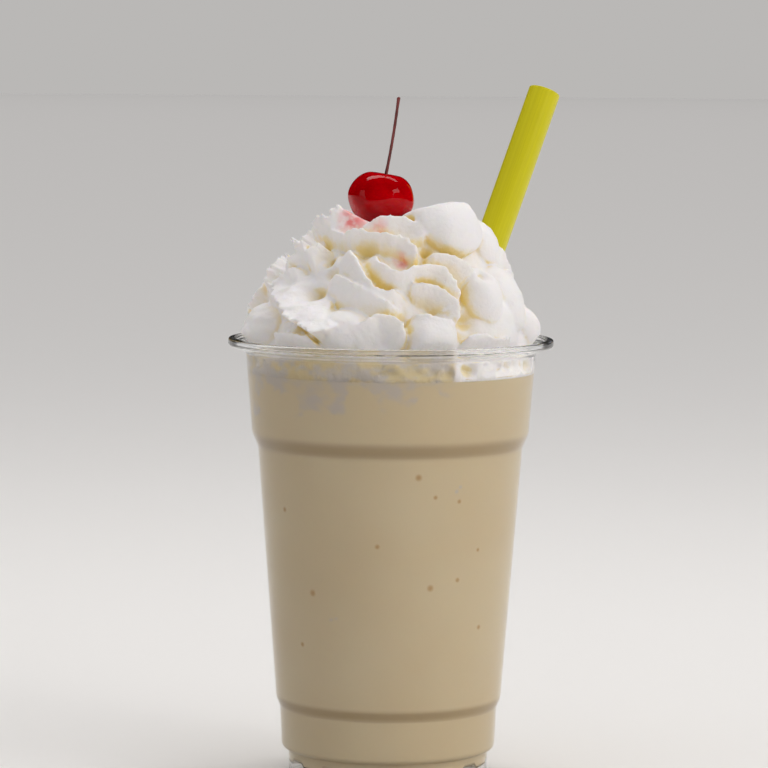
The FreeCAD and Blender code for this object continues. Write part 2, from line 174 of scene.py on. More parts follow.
def turned(name: str, profile: Profile, sides: int, filled: bool = True) -> bpy.types.Object:
    """Makes a round shell: a ring that is extruded and resized along a profile.

    Args:
        name: The new object's name.
        profile: Radius and height of each ring, in millimetres.
        sides: Vertices in each ring.
        filled: Whether the first and the last ring are closed with a face.

    Returns:
        The new object, at the origin.
    """
    bpy.ops.object.select_all(action="DESELECT")
    first_radius, first_height = profile[0]
    bpy.ops.mesh.primitive_circle_add(
        vertices=sides,
        radius=first_radius * MM,
        location=(0, 0, first_height * MM),
        fill_type="NGON" if filled else "NOTHING",
    )
    piece = bpy.context.object
    piece.name = name
    apply_place(piece)
    bpy.ops.object.mode_set(mode="EDIT")
    bpy.ops.mesh.select_all(action="SELECT")
    if filled:
        bpy.ops.mesh.duplicate()
        bpy.ops.mesh.delete(type="ONLY_FACE")
        bpy.ops.mesh.select_all(action="DESELECT")
        bpy.ops.mesh.select_non_manifold(extend=False, use_wire=True, use_boundary=False)
    for (radius, height), (next_radius, next_height) in zip(profile, profile[1:]):
        rise = (0, 0, (next_height - height) * MM)
        bpy.ops.mesh.extrude_region_move(TRANSFORM_OT_translate={"value": rise})
        scale = next_radius / radius
        bpy.ops.transform.resize(value=(scale, scale, 1), center_override=(0, 0, next_height * MM))
    if filled:
        bpy.ops.mesh.edge_face_add()
    bpy.ops.mesh.select_all(action="SELECT")
    bpy.ops.mesh.remove_doubles(threshold=1e-6)
    bpy.ops.mesh.normals_make_consistent(inside=False)
    bpy.ops.object.mode_set(mode="OBJECT")
    return piece


def edit_where(piece: bpy.types.Object, test: Callable[[Vector], bool]) -> None:
    """Selects the vertices that pass a test, and stays in edit mode.

    Args:
        piece: The object to edit.
        test: Tells from a vertex's place whether it is selected.
    """
    select_only(piece)
    bpy.ops.object.mode_set(mode="EDIT")
    bpy.ops.mesh.select_mode(type="VERT")
    bpy.ops.mesh.select_all(action="DESELECT")
    bpy.ops.object.mode_set(mode="OBJECT")
    for vertex in piece.data.vertices:
        vertex.select = test(vertex.co)
    bpy.ops.object.mode_set(mode="EDIT")


def move_where(piece: bpy.types.Object, test: Callable[[Vector], bool], by: Sequence[float]) -> None:
    """Moves the vertices that pass a test.

    Args:
        piece: The object to change.
        test: Tells from a vertex's place whether it moves.
        by: The move, in millimetres.
    """
    edit_where(piece, test)
    bpy.ops.transform.translate(value=[amount * MM for amount in by])
    bpy.ops.object.mode_set(mode="OBJECT")


def keep_main_part(piece: bpy.types.Object) -> None:
    """Deletes every loose crumb that isn't joined to the piece's lowest vertex.

    Args:
        piece: The object to clean.
    """
    lowest = min(vertex.co.z for vertex in piece.data.vertices)
    edit_where(piece, lambda place: place.z <= lowest)
    bpy.ops.mesh.select_linked()
    bpy.ops.mesh.select_all(action="INVERT")
    bpy.ops.mesh.delete(type="VERT")
    bpy.ops.object.mode_set(mode="OBJECT")


# ---------------------------------------------------------------- tools for finishes


class Shader:
    """A procedural material and short calls that add its nodes."""

    def __init__(self, name: str) -> None:
        """Starts a material with its Principled shader and its Object coordinates.

        Args:
            name: The material's name.
        """
        self.material = bpy.data.materials.new(name)
        self.material.use_nodes = True
        self.tree = self.material.node_tree
        self.surface = self.tree.nodes["Principled BSDF"]
        self.place = self.node("ShaderNodeTexCoord").outputs["Object"]

    def node(self, kind: str, settings: dict | None = None, **sockets: object) -> bpy.types.Node:
        """Adds a node.

        Args:
            kind: The node's Blender type.
            settings: Properties of the node.
            **sockets: Values or links for its inputs; an underscore in a name stands for a space.

        Returns:
            The new node.
        """
        node = self.tree.nodes.new(kind)
        for name, value in (settings or {}).items():
            setattr(node, name, value)
        for name, value in sockets.items():
            self.feed(node.inputs[name.replace("_", " ")], value)
        return node

    def feed(self, socket: bpy.types.NodeSocket, value: object) -> None:
        """Links or sets one input.

        Args:
            socket: The input.
            value: A value, or the output to link.
        """
        if isinstance(value, bpy.types.NodeSocket):
            self.tree.links.new(value, socket)
        else:
            socket.default_value = value

    def set(self, **sockets: object) -> None:
        """Links or sets inputs of the Principled shader; an underscore stands for a space."""
        for name, value in sockets.items():
            self.feed(self.surface.inputs[name.replace("_", " ")], value)

    def noise(
        self, size: float, detail: float = 3.0, stretch: Sequence[float] = (1, 1, 1)
    ) -> bpy.types.NodeSocket:
        """Adds a noise pattern.

        Args:
            size: How large its blotches are, in millimetres.
            detail: How many finer layers it has.
            stretch: How much each axis is pressed together.

        Returns:
            The noise's value, from 0 to 1.
        """
        where = self.node("ShaderNodeMapping", Vector=self.place, Scale=stretch).outputs["Vector"]
        made = self.node("ShaderNodeTexNoise", Vector=where, Scale=1 / (size * MM), Detail=detail)
        return made.outputs["Fac"]

    def ramp(
        self, value: bpy.types.NodeSocket, low: float, high: float, to: tuple = (0.0, 1.0)
    ) -> bpy.types.NodeSocket:
        """Maps a value smoothly from one range to another.

        Args:
            value: The value to map.
            low: Where the result starts to change.
            high: Where it ends.
            to: The results at low and high.

        Returns:
            The mapped value.
        """
        made = self.node(
            "ShaderNodeMapRange",
            {"interpolation_type": "SMOOTHSTEP"},
            Value=value,
            From_Min=low,
            From_Max=high,
            To_Min=to[0],
            To_Max=to[1],
        )
        return made.outputs["Result"]

    def mix(self, share: object, first: object, second: object) -> bpy.types.NodeSocket:
        """Mixes two colours.

        Args:
            share: How much of the second is used.
            first: A colour or a link.
            second: A colour or a link.

        Returns:
            The mixed colour.
        """
        node = self.node("ShaderNodeMix", {"data_type": "RGBA"})
        inputs = [s for s in node.inputs if s.enabled]
        for socket, value in zip(inputs, (share, first, second)):
            self.feed(socket, value)
        return next(s for s in node.outputs if s.enabled)

    def math(self, operation: str, first: object, second: object = 0.0) -> bpy.types.NodeSocket:
        """Joins two values by a sum, a product or the like.

        Args:
            operation: Blender's name for what joins them.
            first: A value or a link.
            second: A value or a link.

        Returns:
            The result.
        """
        node = self.node("ShaderNodeMath", {"operation": operation})
        self.feed(node.inputs[0], first)
        self.feed(node.inputs[1], second)
        return node.outputs[0]

    def height(self) -> bpy.types.NodeSocket:
        """The height above the table, in metres."""
        return self.node("ShaderNodeSeparateXYZ", Vector=self.place).outputs["Z"]

    def across(self) -> bpy.types.NodeSocket:
        """The distance to the right of the middle, in metres."""
        return self.node("ShaderNodeSeparateXYZ", Vector=self.place).outputs["X"]

    def spot(self, centre: Sequence[float], size: float, edge: float = 0.5) -> bpy.types.NodeSocket:
        """A soft round mask.

        Args:
            centre: Its middle, in millimetres.
            size: Its radius, in millimetres.
            edge: The share of the radius over which it fades.

        Returns:
            1 inside, 0 outside.
        """
        gap = self.node("ShaderNodeVectorMath", {"operation": "DISTANCE"})
        self.feed(gap.inputs[0], self.place)
        self.feed(gap.inputs[1], [c * MM for c in centre])
        return self.ramp(gap.outputs["Value"], size * (1 - edge) * MM, size * MM, (1.0, 0.0))

    def bump(self, value: bpy.types.NodeSocket, depth: float) -> None:
        """Gives the surface relief.

        Args:
            value: The relief's height, from 0 to 1.
            depth: How deep it is, in millimetres.
        """
        made = self.node("ShaderNodeBump", Height=value, Distance=depth * MM, Strength=1.0)
        previous = self.surface.inputs["Normal"]
        if previous.is_linked:
            self.feed(made.inputs["Normal"], previous.links[0].from_socket)
        self.feed(previous, made.outputs["Normal"])


def linear(value: float) -> float:
    """The linear light of one eight-bit value that a screen shows."""
    share = value / 255
    return share / 12.92 if share <= 0.04045 else ((share + 0.055) / 1.055) ** 2.4


def colour(red: float, green: float, blue: float) -> tuple[float, float, float, float]:
    """A linear colour from the eight-bit values that a screen shows."""
    return linear(red), linear(green), linear(blue), 1.0


@dataclass(frozen=True)
class ClearPlastic:
    """The thin clear plastic of the cup, with a faint haze."""

    tint: tuple = (0.97, 0.97, 0.96, 1.0)
    index: float = 1.45
    haze: float = 0.035

    def material(self) -> bpy.types.Material:
        """Builds the material.

        Returns:
            The material.
        """
        shader = Shader("clear_cup")
        haze = shader.ramp(shader.noise(9.0, 4.0), 0.3, 0.8, (self.haze, self.haze * 2.4))
        shader.set(Base_Color=self.tint, Roughness=haze, IOR=self.index, Transmission_Weight=1.0)
        shader.bump(shader.noise(14.0, 1.0, (1, 1, 0.35)), 0.12)
        return shader.material


@dataclass(frozen=True)
class ShakeFinish:
    """The thick drink seen through the cup: cream coloured, with specks, smears and painted shade along
    the cup's step creases.
    """

    body: tuple = colour(212, 196, 163)
    deep: tuple = colour(209, 191, 156)
    smear: tuple = colour(199, 188, 176)
    speck: tuple = colour(186, 150, 104)
    # painted shade at the heights where the cup's steps crease
    painted_crease_shade: tuple = colour(182, 160, 124)
    level: float = 122.6
    painted_crease_shades: tuple = ()
    specks: tuple = ()
    bubbles: tuple = ()

    def material(self) -> bpy.types.Material:
        """Builds the material.

        Returns:
            The material.
        """
        shader = Shader("milkshake")
        cloud = shader.ramp(shader.noise(34.0, 2.0), 0.3, 0.7)
        base = shader.mix(cloud, self.body, self.deep)
        for centre, size in self.specks:
            base = shader.mix(shader.spot(centre, size, 0.9), base, self.speck)
        for centre, size in self.bubbles:
            base = shader.mix(shader.spot(centre, size, 0.5), base, self.smear)
        # Painted shade: darker rings at the heights where the cup's steps crease.
        for height, half in self.painted_crease_shades:
            off = shader.math("ABSOLUTE", shader.math("SUBTRACT", shader.height(), height * MM))
            base = shader.mix(shader.ramp(off, half * MM, 0.15 * half * MM), base, self.painted_crease_shade)
        side = shader.across()
        left = shader.ramp(side, *SMEAR_AND_RIM_SHADE_END)
        sink = shader.ramp(side, 0.02, -0.03, (5.0 * MM, 11.0 * MM))
        depth = shader.math("SUBTRACT", self.level * MM, shader.height())
        waves = shader.ramp(shader.noise(13.0, 3.0), 0.35, 0.65, (0.1, 1.25))
        wavy = shader.math("MULTIPLY", waves, sink)
        near_top = shader.ramp(shader.math("SUBTRACT", wavy, depth), -0.6 * MM, 1.6 * MM)
        patch = shader.ramp(shader.noise(7.0, 5.0, (1, 1, 1.6)), 0.36, 0.60)
        share = shader.math("MULTIPLY", shader.math("MULTIPLY", left, near_top), patch)
        base = shader.mix(share, base, self.smear)
        shader.set(Base_Color=base, Roughness=0.35, Subsurface_Weight=0.25, Subsurface_Scale=2.0 * MM)
        shader.set(Subsurface_Radius=(1.0, 0.75, 0.45), Specular_IOR_Level=0.2)
        shader.bump(shader.noise(3.0, 3.0), 0.05)
        return shader.material


@dataclass(frozen=True)
class CreamFinish:
    """Whipped cream: white foam with painted yellow shade in its hollows among the folds, real smears
    painted greyer as shade under the rim, fine pores and pink syrup by the cherry.
    """

    crest: tuple = colour(248, 244, 243)
    # painted shade: the warm yellow laid into the hollows among the folds
    fold: tuple = colour(241, 219, 144)
    syrup: tuple = colour(238, 92, 92)
    # cream pressed to the wall under the rim: real smears with the drink, painted greyer as the rim's
    # shade
    thin: tuple = colour(218, 200, 156)
    thick: tuple = colour(205, 196, 187)
    rim: float = 132.6
    stains: tuple = ()

    def material(self) -> bpy.types.Material:
        """Builds the material.

        Returns:
            The material.
        """
        shader = Shader("whipped_cream")
        # Painted shade: the ray-cast occlusion turns the foam towards the yellow of the hollows.
        depth = shader.node("ShaderNodeAttribute", {"attribute_name": "fold"}).outputs["Fac"]
        base = shader.mix(shader.ramp(depth, 0.14, 0.84), self.crest, self.fold)
        # Under the rim on the left: real smear patches, painted greyer as the shade that the rim casts.
        left = shader.ramp(shader.across(), *SMEAR_AND_RIM_SHADE_END)
        below = shader.ramp(shader.height(), (self.rim - 1) * MM, (self.rim - 4) * MM)
        patch = shader.ramp(shader.noise(7.0, 5.0, (1, 1, 1.6)), 0.40, 0.60)
        wet = shader.mix(patch, self.thin, self.thick)
        base = shader.mix(shader.math("MULTIPLY", left, below), base, wet)
        for centre, size, strength in self.stains:
            mask = shader.math("MULTIPLY", shader.spot(centre, size, 0.8), strength)
            ragged = shader.ramp(shader.noise(3.0, 4.0), 0.35, 0.6, (0.35, 1.0))
            base = shader.mix(shader.math("MULTIPLY", mask, ragged), base, self.syrup)
        shader.set(Base_Color=base, Roughness=0.55, Subsurface_Weight=0.35, Subsurface_Scale=1.0 * MM)
        shader.set(Subsurface_Radius=(1.0, 0.8, 0.5), Specular_IOR_Level=0.3)
        shader.bump(shader.noise(1.1, 4.0), 0.20)
        shader.bump(shader.noise(3.6, 3.0), 0.30)
        pores = shader.node("ShaderNodeTexVoronoi", Vector=shader.place, Scale=1 / (2.4 * MM))
        pits = shader.ramp(pores.outputs["Distance"], 0.0, 0.16)
        shader.bump(pits, 0.10)
        return shader.material


@dataclass(frozen=True)
class CherryFinish:
    """The cherry's skin: deep red, wet and glossy, with a slightly wobbly surface."""

    skin: tuple = colour(186, 0, 8)
    dark: tuple = colour(160, 0, 5)

    def material(self) -> bpy.types.Material:
        """Builds the material.

        Returns:
            The material.
        """
        shader = Shader("cherry")
        base = shader.mix(shader.ramp(shader.noise(6.0, 3.0), 0.3, 0.7), self.skin, self.dark)
        shader.set(Base_Color=base, Roughness=0.3, Subsurface_Weight=0.2, Subsurface_Scale=2.0 * MM)
        shader.set(Subsurface_Radius=(1.0, 0.05, 0.03), Specular_IOR_Level=0.0)
        shader.set(Coat_Weight=1.0, Coat_IOR=1.3, Coat_Roughness=0.02)
        shader.bump(shader.noise(3.4, 2.0), 0.10)
        return shader.material


@dataclass(frozen=True)
class StemFinish:
    """The stalk: red-brown, with fine grooves along it."""

    skin: tuple = colour(128, 58, 56)
    dry: tuple = colour(86, 40, 36)

    def material(self) -> bpy.types.Material:
        """Builds the material.

        Returns:
            The material.
        """
        shader = Shader("cherry_stem")
        grain = shader.ramp(shader.noise(0.7, 3.0, (1, 1, 0.15)), 0.35, 0.65)
        shader.set(Base_Color=shader.mix(grain, self.skin, self.dry), Roughness=0.45)
        shader.bump(grain, 0.05)
        return shader.material


@dataclass(frozen=True)
class StrawFinish:
    """The straw: lime yellow plastic, faintly streaked along its length."""

    body: tuple = colour(217, 208, 26)
    streak: tuple = colour(211, 202, 20)

    def material(self) -> bpy.types.Material:
        """Builds the material.

        Returns:
            The material.
        """
        shader = Shader("straw")
        around = shader.node("ShaderNodeAttribute", {"attribute_name": "around"}).outputs["Vector"]
        lines = shader.node("ShaderNodeTexNoise", Vector=around, Scale=5.0, Detail=3.0)
        share = shader.ramp(lines.outputs["Fac"], 0.35, 0.65)
        base = shader.mix(share, self.body, self.streak)
        shader.set(Base_Color=base, Roughness=0.3, Subsurface_Weight=0.3, Subsurface_Scale=1.0 * MM)
        shader.set(Subsurface_Radius=(1.0, 0.9, 0.3), Specular_IOR_Level=0.5)
        shader.bump(lines.outputs["Fac"], 0.03)
        return shader.material


@dataclass(frozen=True)
class FloorFinish:
    """The pale studio floor."""

    paint: tuple = colour(245, 243, 240)

    def material(self) -> bpy.types.Material:
        """Builds the material.

        Returns:
            The material.
        """
        shader = Shader("floor")
        shader.set(Base_Color=self.paint, Roughness=0.9, Specular_IOR_Level=0.1)
        return shader.material


# ---------------------------------------------------------------- the cup and the drink


@dataclass
class Cup:
    """The clear cup with its rolled rim, two steps, heel and foot ring. Sizes in millimetres."""

    height: float
    rim_radius: float
    foot_radius: float = 30.1
    wall: float = 0.5
    lip_width: float = 5.3
    lip_drop: float = 3.9
    lip_edge: float = 2.1
    lip_round: float = 0.8
    flange: float = 1.2
    bead_width: float = 2.3
    bead_slope: float = 0.5
    bead_rise: float = 1.6
    mouth_round: float = 1.6
    band_height: float = 28.4
    band_draft: float = 1.95
    band_round: float = 5.0
    upper_step_height: float = 4.4
    upper_step_width: float = 1.85
    crease_round: float = 1.5
    lower_step_base: float = 20.8
    lower_step_height: float = 3.0
    lower_step_width: float = 1.2
    body_round: float = 3.0
    heel_overhang: float = 2.2
    heel_draft: float = 0.55
    heel_round: float = 1.9
    ledge_rise: float = 0.7
    foot_height: float = 7.9
    floor_height: float = 4.3
    lug_count: int = 12
    lug_share: float = 0.4
    lug_depth: float = 3.0
    lug_height: float = 1.2
    lug_turn: float = 0.37
    sides: int = 144
    finish: ClearPlastic = field(default_factory=ClearPlastic)

    @property
    def mouth(self) -> float:
        """The outer radius where the wall turns out into the rim."""
        return self.rim_radius - self.lip_width

    def skin(self, inset: float) -> list[Corner]:
        """The wall's corners from the foot to the mouth.

        Args:
            inset: How far inside the outer surface they lie.

        Returns:
            Radius, height and rounding of each corner.
        """
        heel = self.foot_radius + self.heel_overhang
        waist = heel + self.heel_draft
        band = self.mouth - self.band_draft
        band_base = self.height - self.band_height
        step_top = self.lower_step_base + self.lower_step_height
        corners = [
            (self.foot_radius, self.foot_height, 0.4),
            (heel, self.foot_height + self.ledge_rise, self.heel_round),
            (waist, self.lower_step_base, self.crease_round),
            (waist + self.lower_step_width, step_top, self.body_round),
            (band - self.upper_step_width, band_base - self.upper_step_height, self.crease_round),
            (band, band_base, self.band_round),
            (self.mouth, self.height - self.lip_drop, self.mouth_round),
        ]
        return [(x - inset, z + inset, turn) for x, z, turn in corners]

    def radius_at(self, height: float, inset: float) -> float:
        """The radius of the wall in the wide band.

        Args:
            height: Where, above the table.
            inset: How far inside the outer surface.

        Returns:
            The radius.
        """
        (low_x, low_z, _), (high_x, high_z, _) = self.skin(inset)[-2:]
        return low_x + (high_x - low_x) * (height - low_z) / (high_z - low_z)

    def floor_rings(self, inset: float, base: float) -> list[Corner]:
        """The rings of a floor, from its middle to the wall, which the lugs lift.

        Args:
            inset: How far inside the outer surface its edge lies.
            base: Its height.

        Returns:
            Radius, height and rounding of each ring.
        """
        inside = self.foot_radius - inset
        return [
            (inside - self.lug_depth - 0.3, base, 0),
            (inside - self.lug_depth, base, 0),
            (inside - 0.4, base, 0),
            (inside, base + 0.4, 0),
        ]

    def in_lug(self, place: Vector, inset: float, base: float) -> bool:
        """Tells whether a vertex of a floor belongs to a stacking lug.

        Args:
            place: The vertex's place, in metres.
            inset: How far inside the outer surface the floor's edge lies.
            base: The floor's height.

        Returns:
            Whether it does.
        """
        radius = math.hypot(place.x, place.y) / MM
        share = (math.atan2(place.y, place.x) / (2 * math.pi) * self.lug_count + self.lug_turn) % 1.0
        low, high = self.foot_radius - inset - self.lug_depth + 0.15, self.foot_radius - inset + 0.05
        near_floor = abs(place.z / MM - base) < self.lug_height / 2
        return low < radius < high and share < self.lug_share and near_floor

    def build(self) -> bpy.types.Object:
        """Makes the cup.

        Returns:
            The finished piece.
        """
        top, rim, wall = self.height, self.rim_radius, self.wall
        bead = rim - self.bead_width
        under = [(x, z, 0) for x, z, _ in self.floor_rings(wall, self.floor_height)[:3]]
        corners: list[Corner] = [
            *under,
            (self.foot_radius - wall, self.floor_height - 0.1, 0),
            (self.foot_radius - wall, 0.15, 0),
            (self.foot_radius - wall / 2, 0, 0),
            (self.foot_radius, 0.15, 0),
            *self.skin(0.0),
            (rim, top - self.lip_edge, self.lip_round),
            (rim, top, self.lip_round),
            (bead, top, self.lip_round),
            (bead - self.bead_slope, top - self.bead_rise, self.lip_round / 2),
            (self.mouth - wall, top - self.lip_drop + self.flange, self.mouth_round),
            *reversed(self.skin(wall)[:-1]),
            *reversed(self.floor_rings(wall, self.floor_height + wall)),
        ]
        piece = turned("cup_shell", rounded(corners), self.sides)
        for base in (self.floor_height, self.floor_height + wall):
            move_where(piece, lambda v, b=base: self.in_lug(v, wall, b), (0, 0, self.lug_height))
        shade_smooth(piece)
        piece.visible_shadow = False
        finish_piece(piece, self.finish.material(), "cup")
        return piece


@dataclass
class Shake:
    """The drink: it fills the cup to its level and reaches into the middle of the wall."""

    cup: Cup
    level: float
    finish: ShakeFinish = field(default_factory=ShakeFinish)

    def build(self) -> bpy.types.Object:
        """Makes the drink.

        Returns:
            The finished piece.
        """
        half = self.cup.wall / 2
        base = self.cup.floor_height + half
        edge = self.cup.radius_at(self.level, half)
        corners = [
            *self.cup.floor_rings(half, base),
            *self.cup.skin(half)[:-1],
            (edge, self.level, 0),
            (edge - 0.8, self.level - 0.35, 0),
            (edge - 2.4, self.level - 0.6, 0),
        ]
        piece = turned("shake_fill", rounded(corners), self.cup.sides)
        move_where(piece, lambda v: self.cup.in_lug(v, half, base), (0, 0, self.cup.lug_height))
        shade_smooth(piece)
        finish_piece(piece, self.finish.material(), "milkshake")
        return piece


# ---------------------------------------------------------------- the whipped cream


def swept(name: str, rings: np.ndarray) -> bpy.types.Object:
    """Makes a closed shape from rings of points.

    Args:
        name: The new object's name.
        rings: Rings by points by three, in millimetres.

    Returns:
        The new object.
    """
    rows, columns, _ = rings.shape
    ends = np.array([rings[0].mean(axis=0), rings[-1].mean(axis=0)])
    points = np.concatenate([rings.reshape(-1, 3), ends]) * MM
    first, last = rows * columns, rows * columns + 1
    top = (rows - 1) * columns
    faces: list[tuple[int, ...]] = []
    for row in range(rows - 1):
        low, high = row * columns, (row + 1) * columns
        for column in range(columns):
            after = (column + 1) % columns
            faces.append((low + column, low + after, high + after, high + column))
    for column in range(columns):
        after = (column + 1) % columns
        faces.append((after, column, first))
        faces.append((top + column, top + after, last))
    mesh = bpy.data.meshes.new(name)
    mesh.from_pydata(points.tolist(), [], faces)
    piece = bpy.data.objects.new(name, mesh)
    bpy.context.scene.collection.objects.link(piece)
    return piece


def smooth_path(points: np.ndarray, step: float) -> np.ndarray:
    """Runs a smooth curve through points.

    Args:
        points: The points to pass, in millimetres.
        step: The distance between the curve's own points.

    Returns:
        The curve's points.
    """
    padded = np.vstack([2 * points[0] - points[1], points, 2 * points[-1] - points[-2]])
    runs = []
    for a, b, c, d in zip(padded, padded[1:], padded[2:], padded[3:]):
        count = max(2, int(np.linalg.norm(c - b) / step))
        t = np.linspace(0, 1, count, endpoint=False)[:, None]
        square, cube = 2 * a - 5 * b + 4 * c - d, 3 * b - 3 * c + d - a
        runs.append(0.5 * (2 * b + (c - a) * t + square * t**2 + cube * t**3))
    return np.vstack([*runs, points[-1:]])


def run_along(line: np.ndarray) -> np.ndarray:
    """The distance along a line at each of its points."""
    return np.concatenate([[0], np.cumsum(np.linalg.norm(np.diff(line, axis=0), axis=1))])


def unit(vectors: np.ndarray) -> np.ndarray:
    """Vectors of length one."""
    return vectors / np.maximum(np.linalg.norm(vectors, axis=-1, keepdims=True), 1e-9)


@dataclass(frozen=True)
class Mound:
    """The heart of the cream: a hill of turned shape on which the folds stand."""

    base: float = 45.5
    slope: float = 0.50
    droop: float = 8.5
    top: float = 41.0
    inset: float = 6.2
    more_inset: float = 3.0
    skew: float = 0.06

    def radius(self, height: np.ndarray | float) -> np.ndarray:
        """The heart's radius.

        Args:
            height: The height above the rim.

        Returns:
            The radius there.
        """
        share = np.clip(np.asarray(height, float) / self.top, -0.1, 1)
        outer = self.base - self.slope * self.top * share - self.droop * np.abs(share) ** 6
        return outer - self.inset - self.more_inset * share**2

    def normal(self, height: np.ndarray | float) -> tuple[np.ndarray, np.ndarray]:
        """How far the heart's surface faces outwards and upwards.

        Args:
            height: The height above the rim.

        Returns:
            The two parts of the unit normal.
        """
        fall = self.radius(np.asarray(height) - 0.5) - self.radius(np.asarray(height) + 0.5)
        size = np.hypot(1.0, fall)
        return 1.0 / size, fall / size

    def foot(self, across: float, height: float, lift: float, turn: float) -> tuple:
        """Finds what on the heart lies below a place.

        Args:
            across: The place's distance across, as the front view shows it.
            height: Its height above the rim.
            lift: How high it stands over the heart.
            turn: How far round from the front, in degrees, the view is that shows it so.

        Returns:
            The foot's place, and the way from there to the place given.
        """
        across = across - self.skew * height
        low = height
        for _ in range(4):
            low = height - float(self.normal(low)[1]) * lift
        out, up = (float(part) for part in self.normal(low))
        reach = float(self.radius(low))
        angle = math.asin(max(-1.0, min(1.0, across / (reach + out * lift)))) + math.radians(turn)
        way = (math.sin(angle), -math.cos(angle))
        place = (reach * way[0] + self.skew * max(low, 0.0), reach * way[1], low)
        return place, (out * way[0], out * way[1], up)


@dataclass(frozen=True)
class Fold:
    """A fold of cream: a thin crest with a broad face on one side and a sharp drop on the other.

    Its crest runs through places given by the distance across, the height above the rim and how
    high the crest stands over the mound's heart, all in millimetres. The face lies to the right
    of someone who walks along the crest with the mound under their feet.
    """

    crest: tuple
    face: float = 6.5
    drop: float = 1.9
    lean: float = 1.1
    swell: float = 1.5
    torn: float = 0.32
    seed: int = 1

    def mirror(self) -> "Fold":
        """The same fold with left and right swapped."""
        crest = tuple((-across, height, lift) for across, height, lift in self.crest[::-1])
        return replace(self, crest=crest)

    def rise(
        self, away: np.ndarray, share: np.ndarray, height: np.ndarray
    ) -> tuple[np.ndarray, np.ndarray]:
        """How high the fold stands, and how far it leans over its drop.

        Args:
            away: Distance from the crest, above zero on the face's side.
            share: How strong the fold is there, fading to 0 at its ends.
            height: The crest's height.

        Returns:
            The rise and the shift, in millimetres.
        """
        near = np.sqrt(away**2 + 0.45**2) - 0.45
        front = np.clip(1 - near / self.face, 0, 1) ** self.swell
        back = np.clip(1 - near / self.drop, 0, 1) ** 1.5
        part = np.where(away > 0, front, back) * share
        return height * part, self.lean * part**2.5


@dataclass(frozen=True)
class Petal:
    """A smooth rounded lobe of cream, given by its middle and its two half sizes."""

    middle: tuple
    wide: float
    tall: float
    square: float = 2.6
    edge: float = 0.45
    pillow: float = 1.0


@dataclass(frozen=True)
class Dent:
    """A small hollow between the folds, given by where the front view shows it."""

    across: float
    height: float
    size: float
    depth: float


def spikes(along: np.ndarray, seed: int, spacing: float = 2.8) -> np.ndarray:
    """The uneven teeth that a star-shaped nozzle leaves on a torn edge.

    Args:
        along: Distances along the edge, in millimetres.
        seed: What makes the teeth uneven.
        spacing: The distance between teeth.

    Returns:
        How far each point of the edge stands out, about -1 to 1.
    """
    rng = np.random.default_rng(seed)
    knots = np.linspace(along[0], along[-1] + 1e-6, 14)
    slip = np.interp(along, knots, rng.uniform(-0.5, 0.5, 14))
    size = np.interp(along, knots, rng.uniform(0.1, 1.2, 14))
    teeth = 1 - 2 * np.abs(np.sin(np.pi * (along / spacing + slip))) ** 0.8
    return teeth * size + rng.normal(scale=0.12, size=len(along))


def ripple(points: np.ndarray, size: float, seed: int) -> np.ndarray:
    """Uneven waves over points in space, about -1 to 1.

    Args:
        points: The points, in millimetres.
        size: The waves' length.
        seed: What makes them uneven.

    Returns:
        One height for each point.
    """
    rng = np.random.default_rng(seed)
    total = np.zeros(points.shape[:-1])
    for way in unit(rng.normal(size=(9, 3))):
        length = size * rng.uniform(0.6, 1.5)
        total += np.sin(points @ way * (2 * np.pi / length) + rng.uniform(0, 6.28))
    return total / 4.5


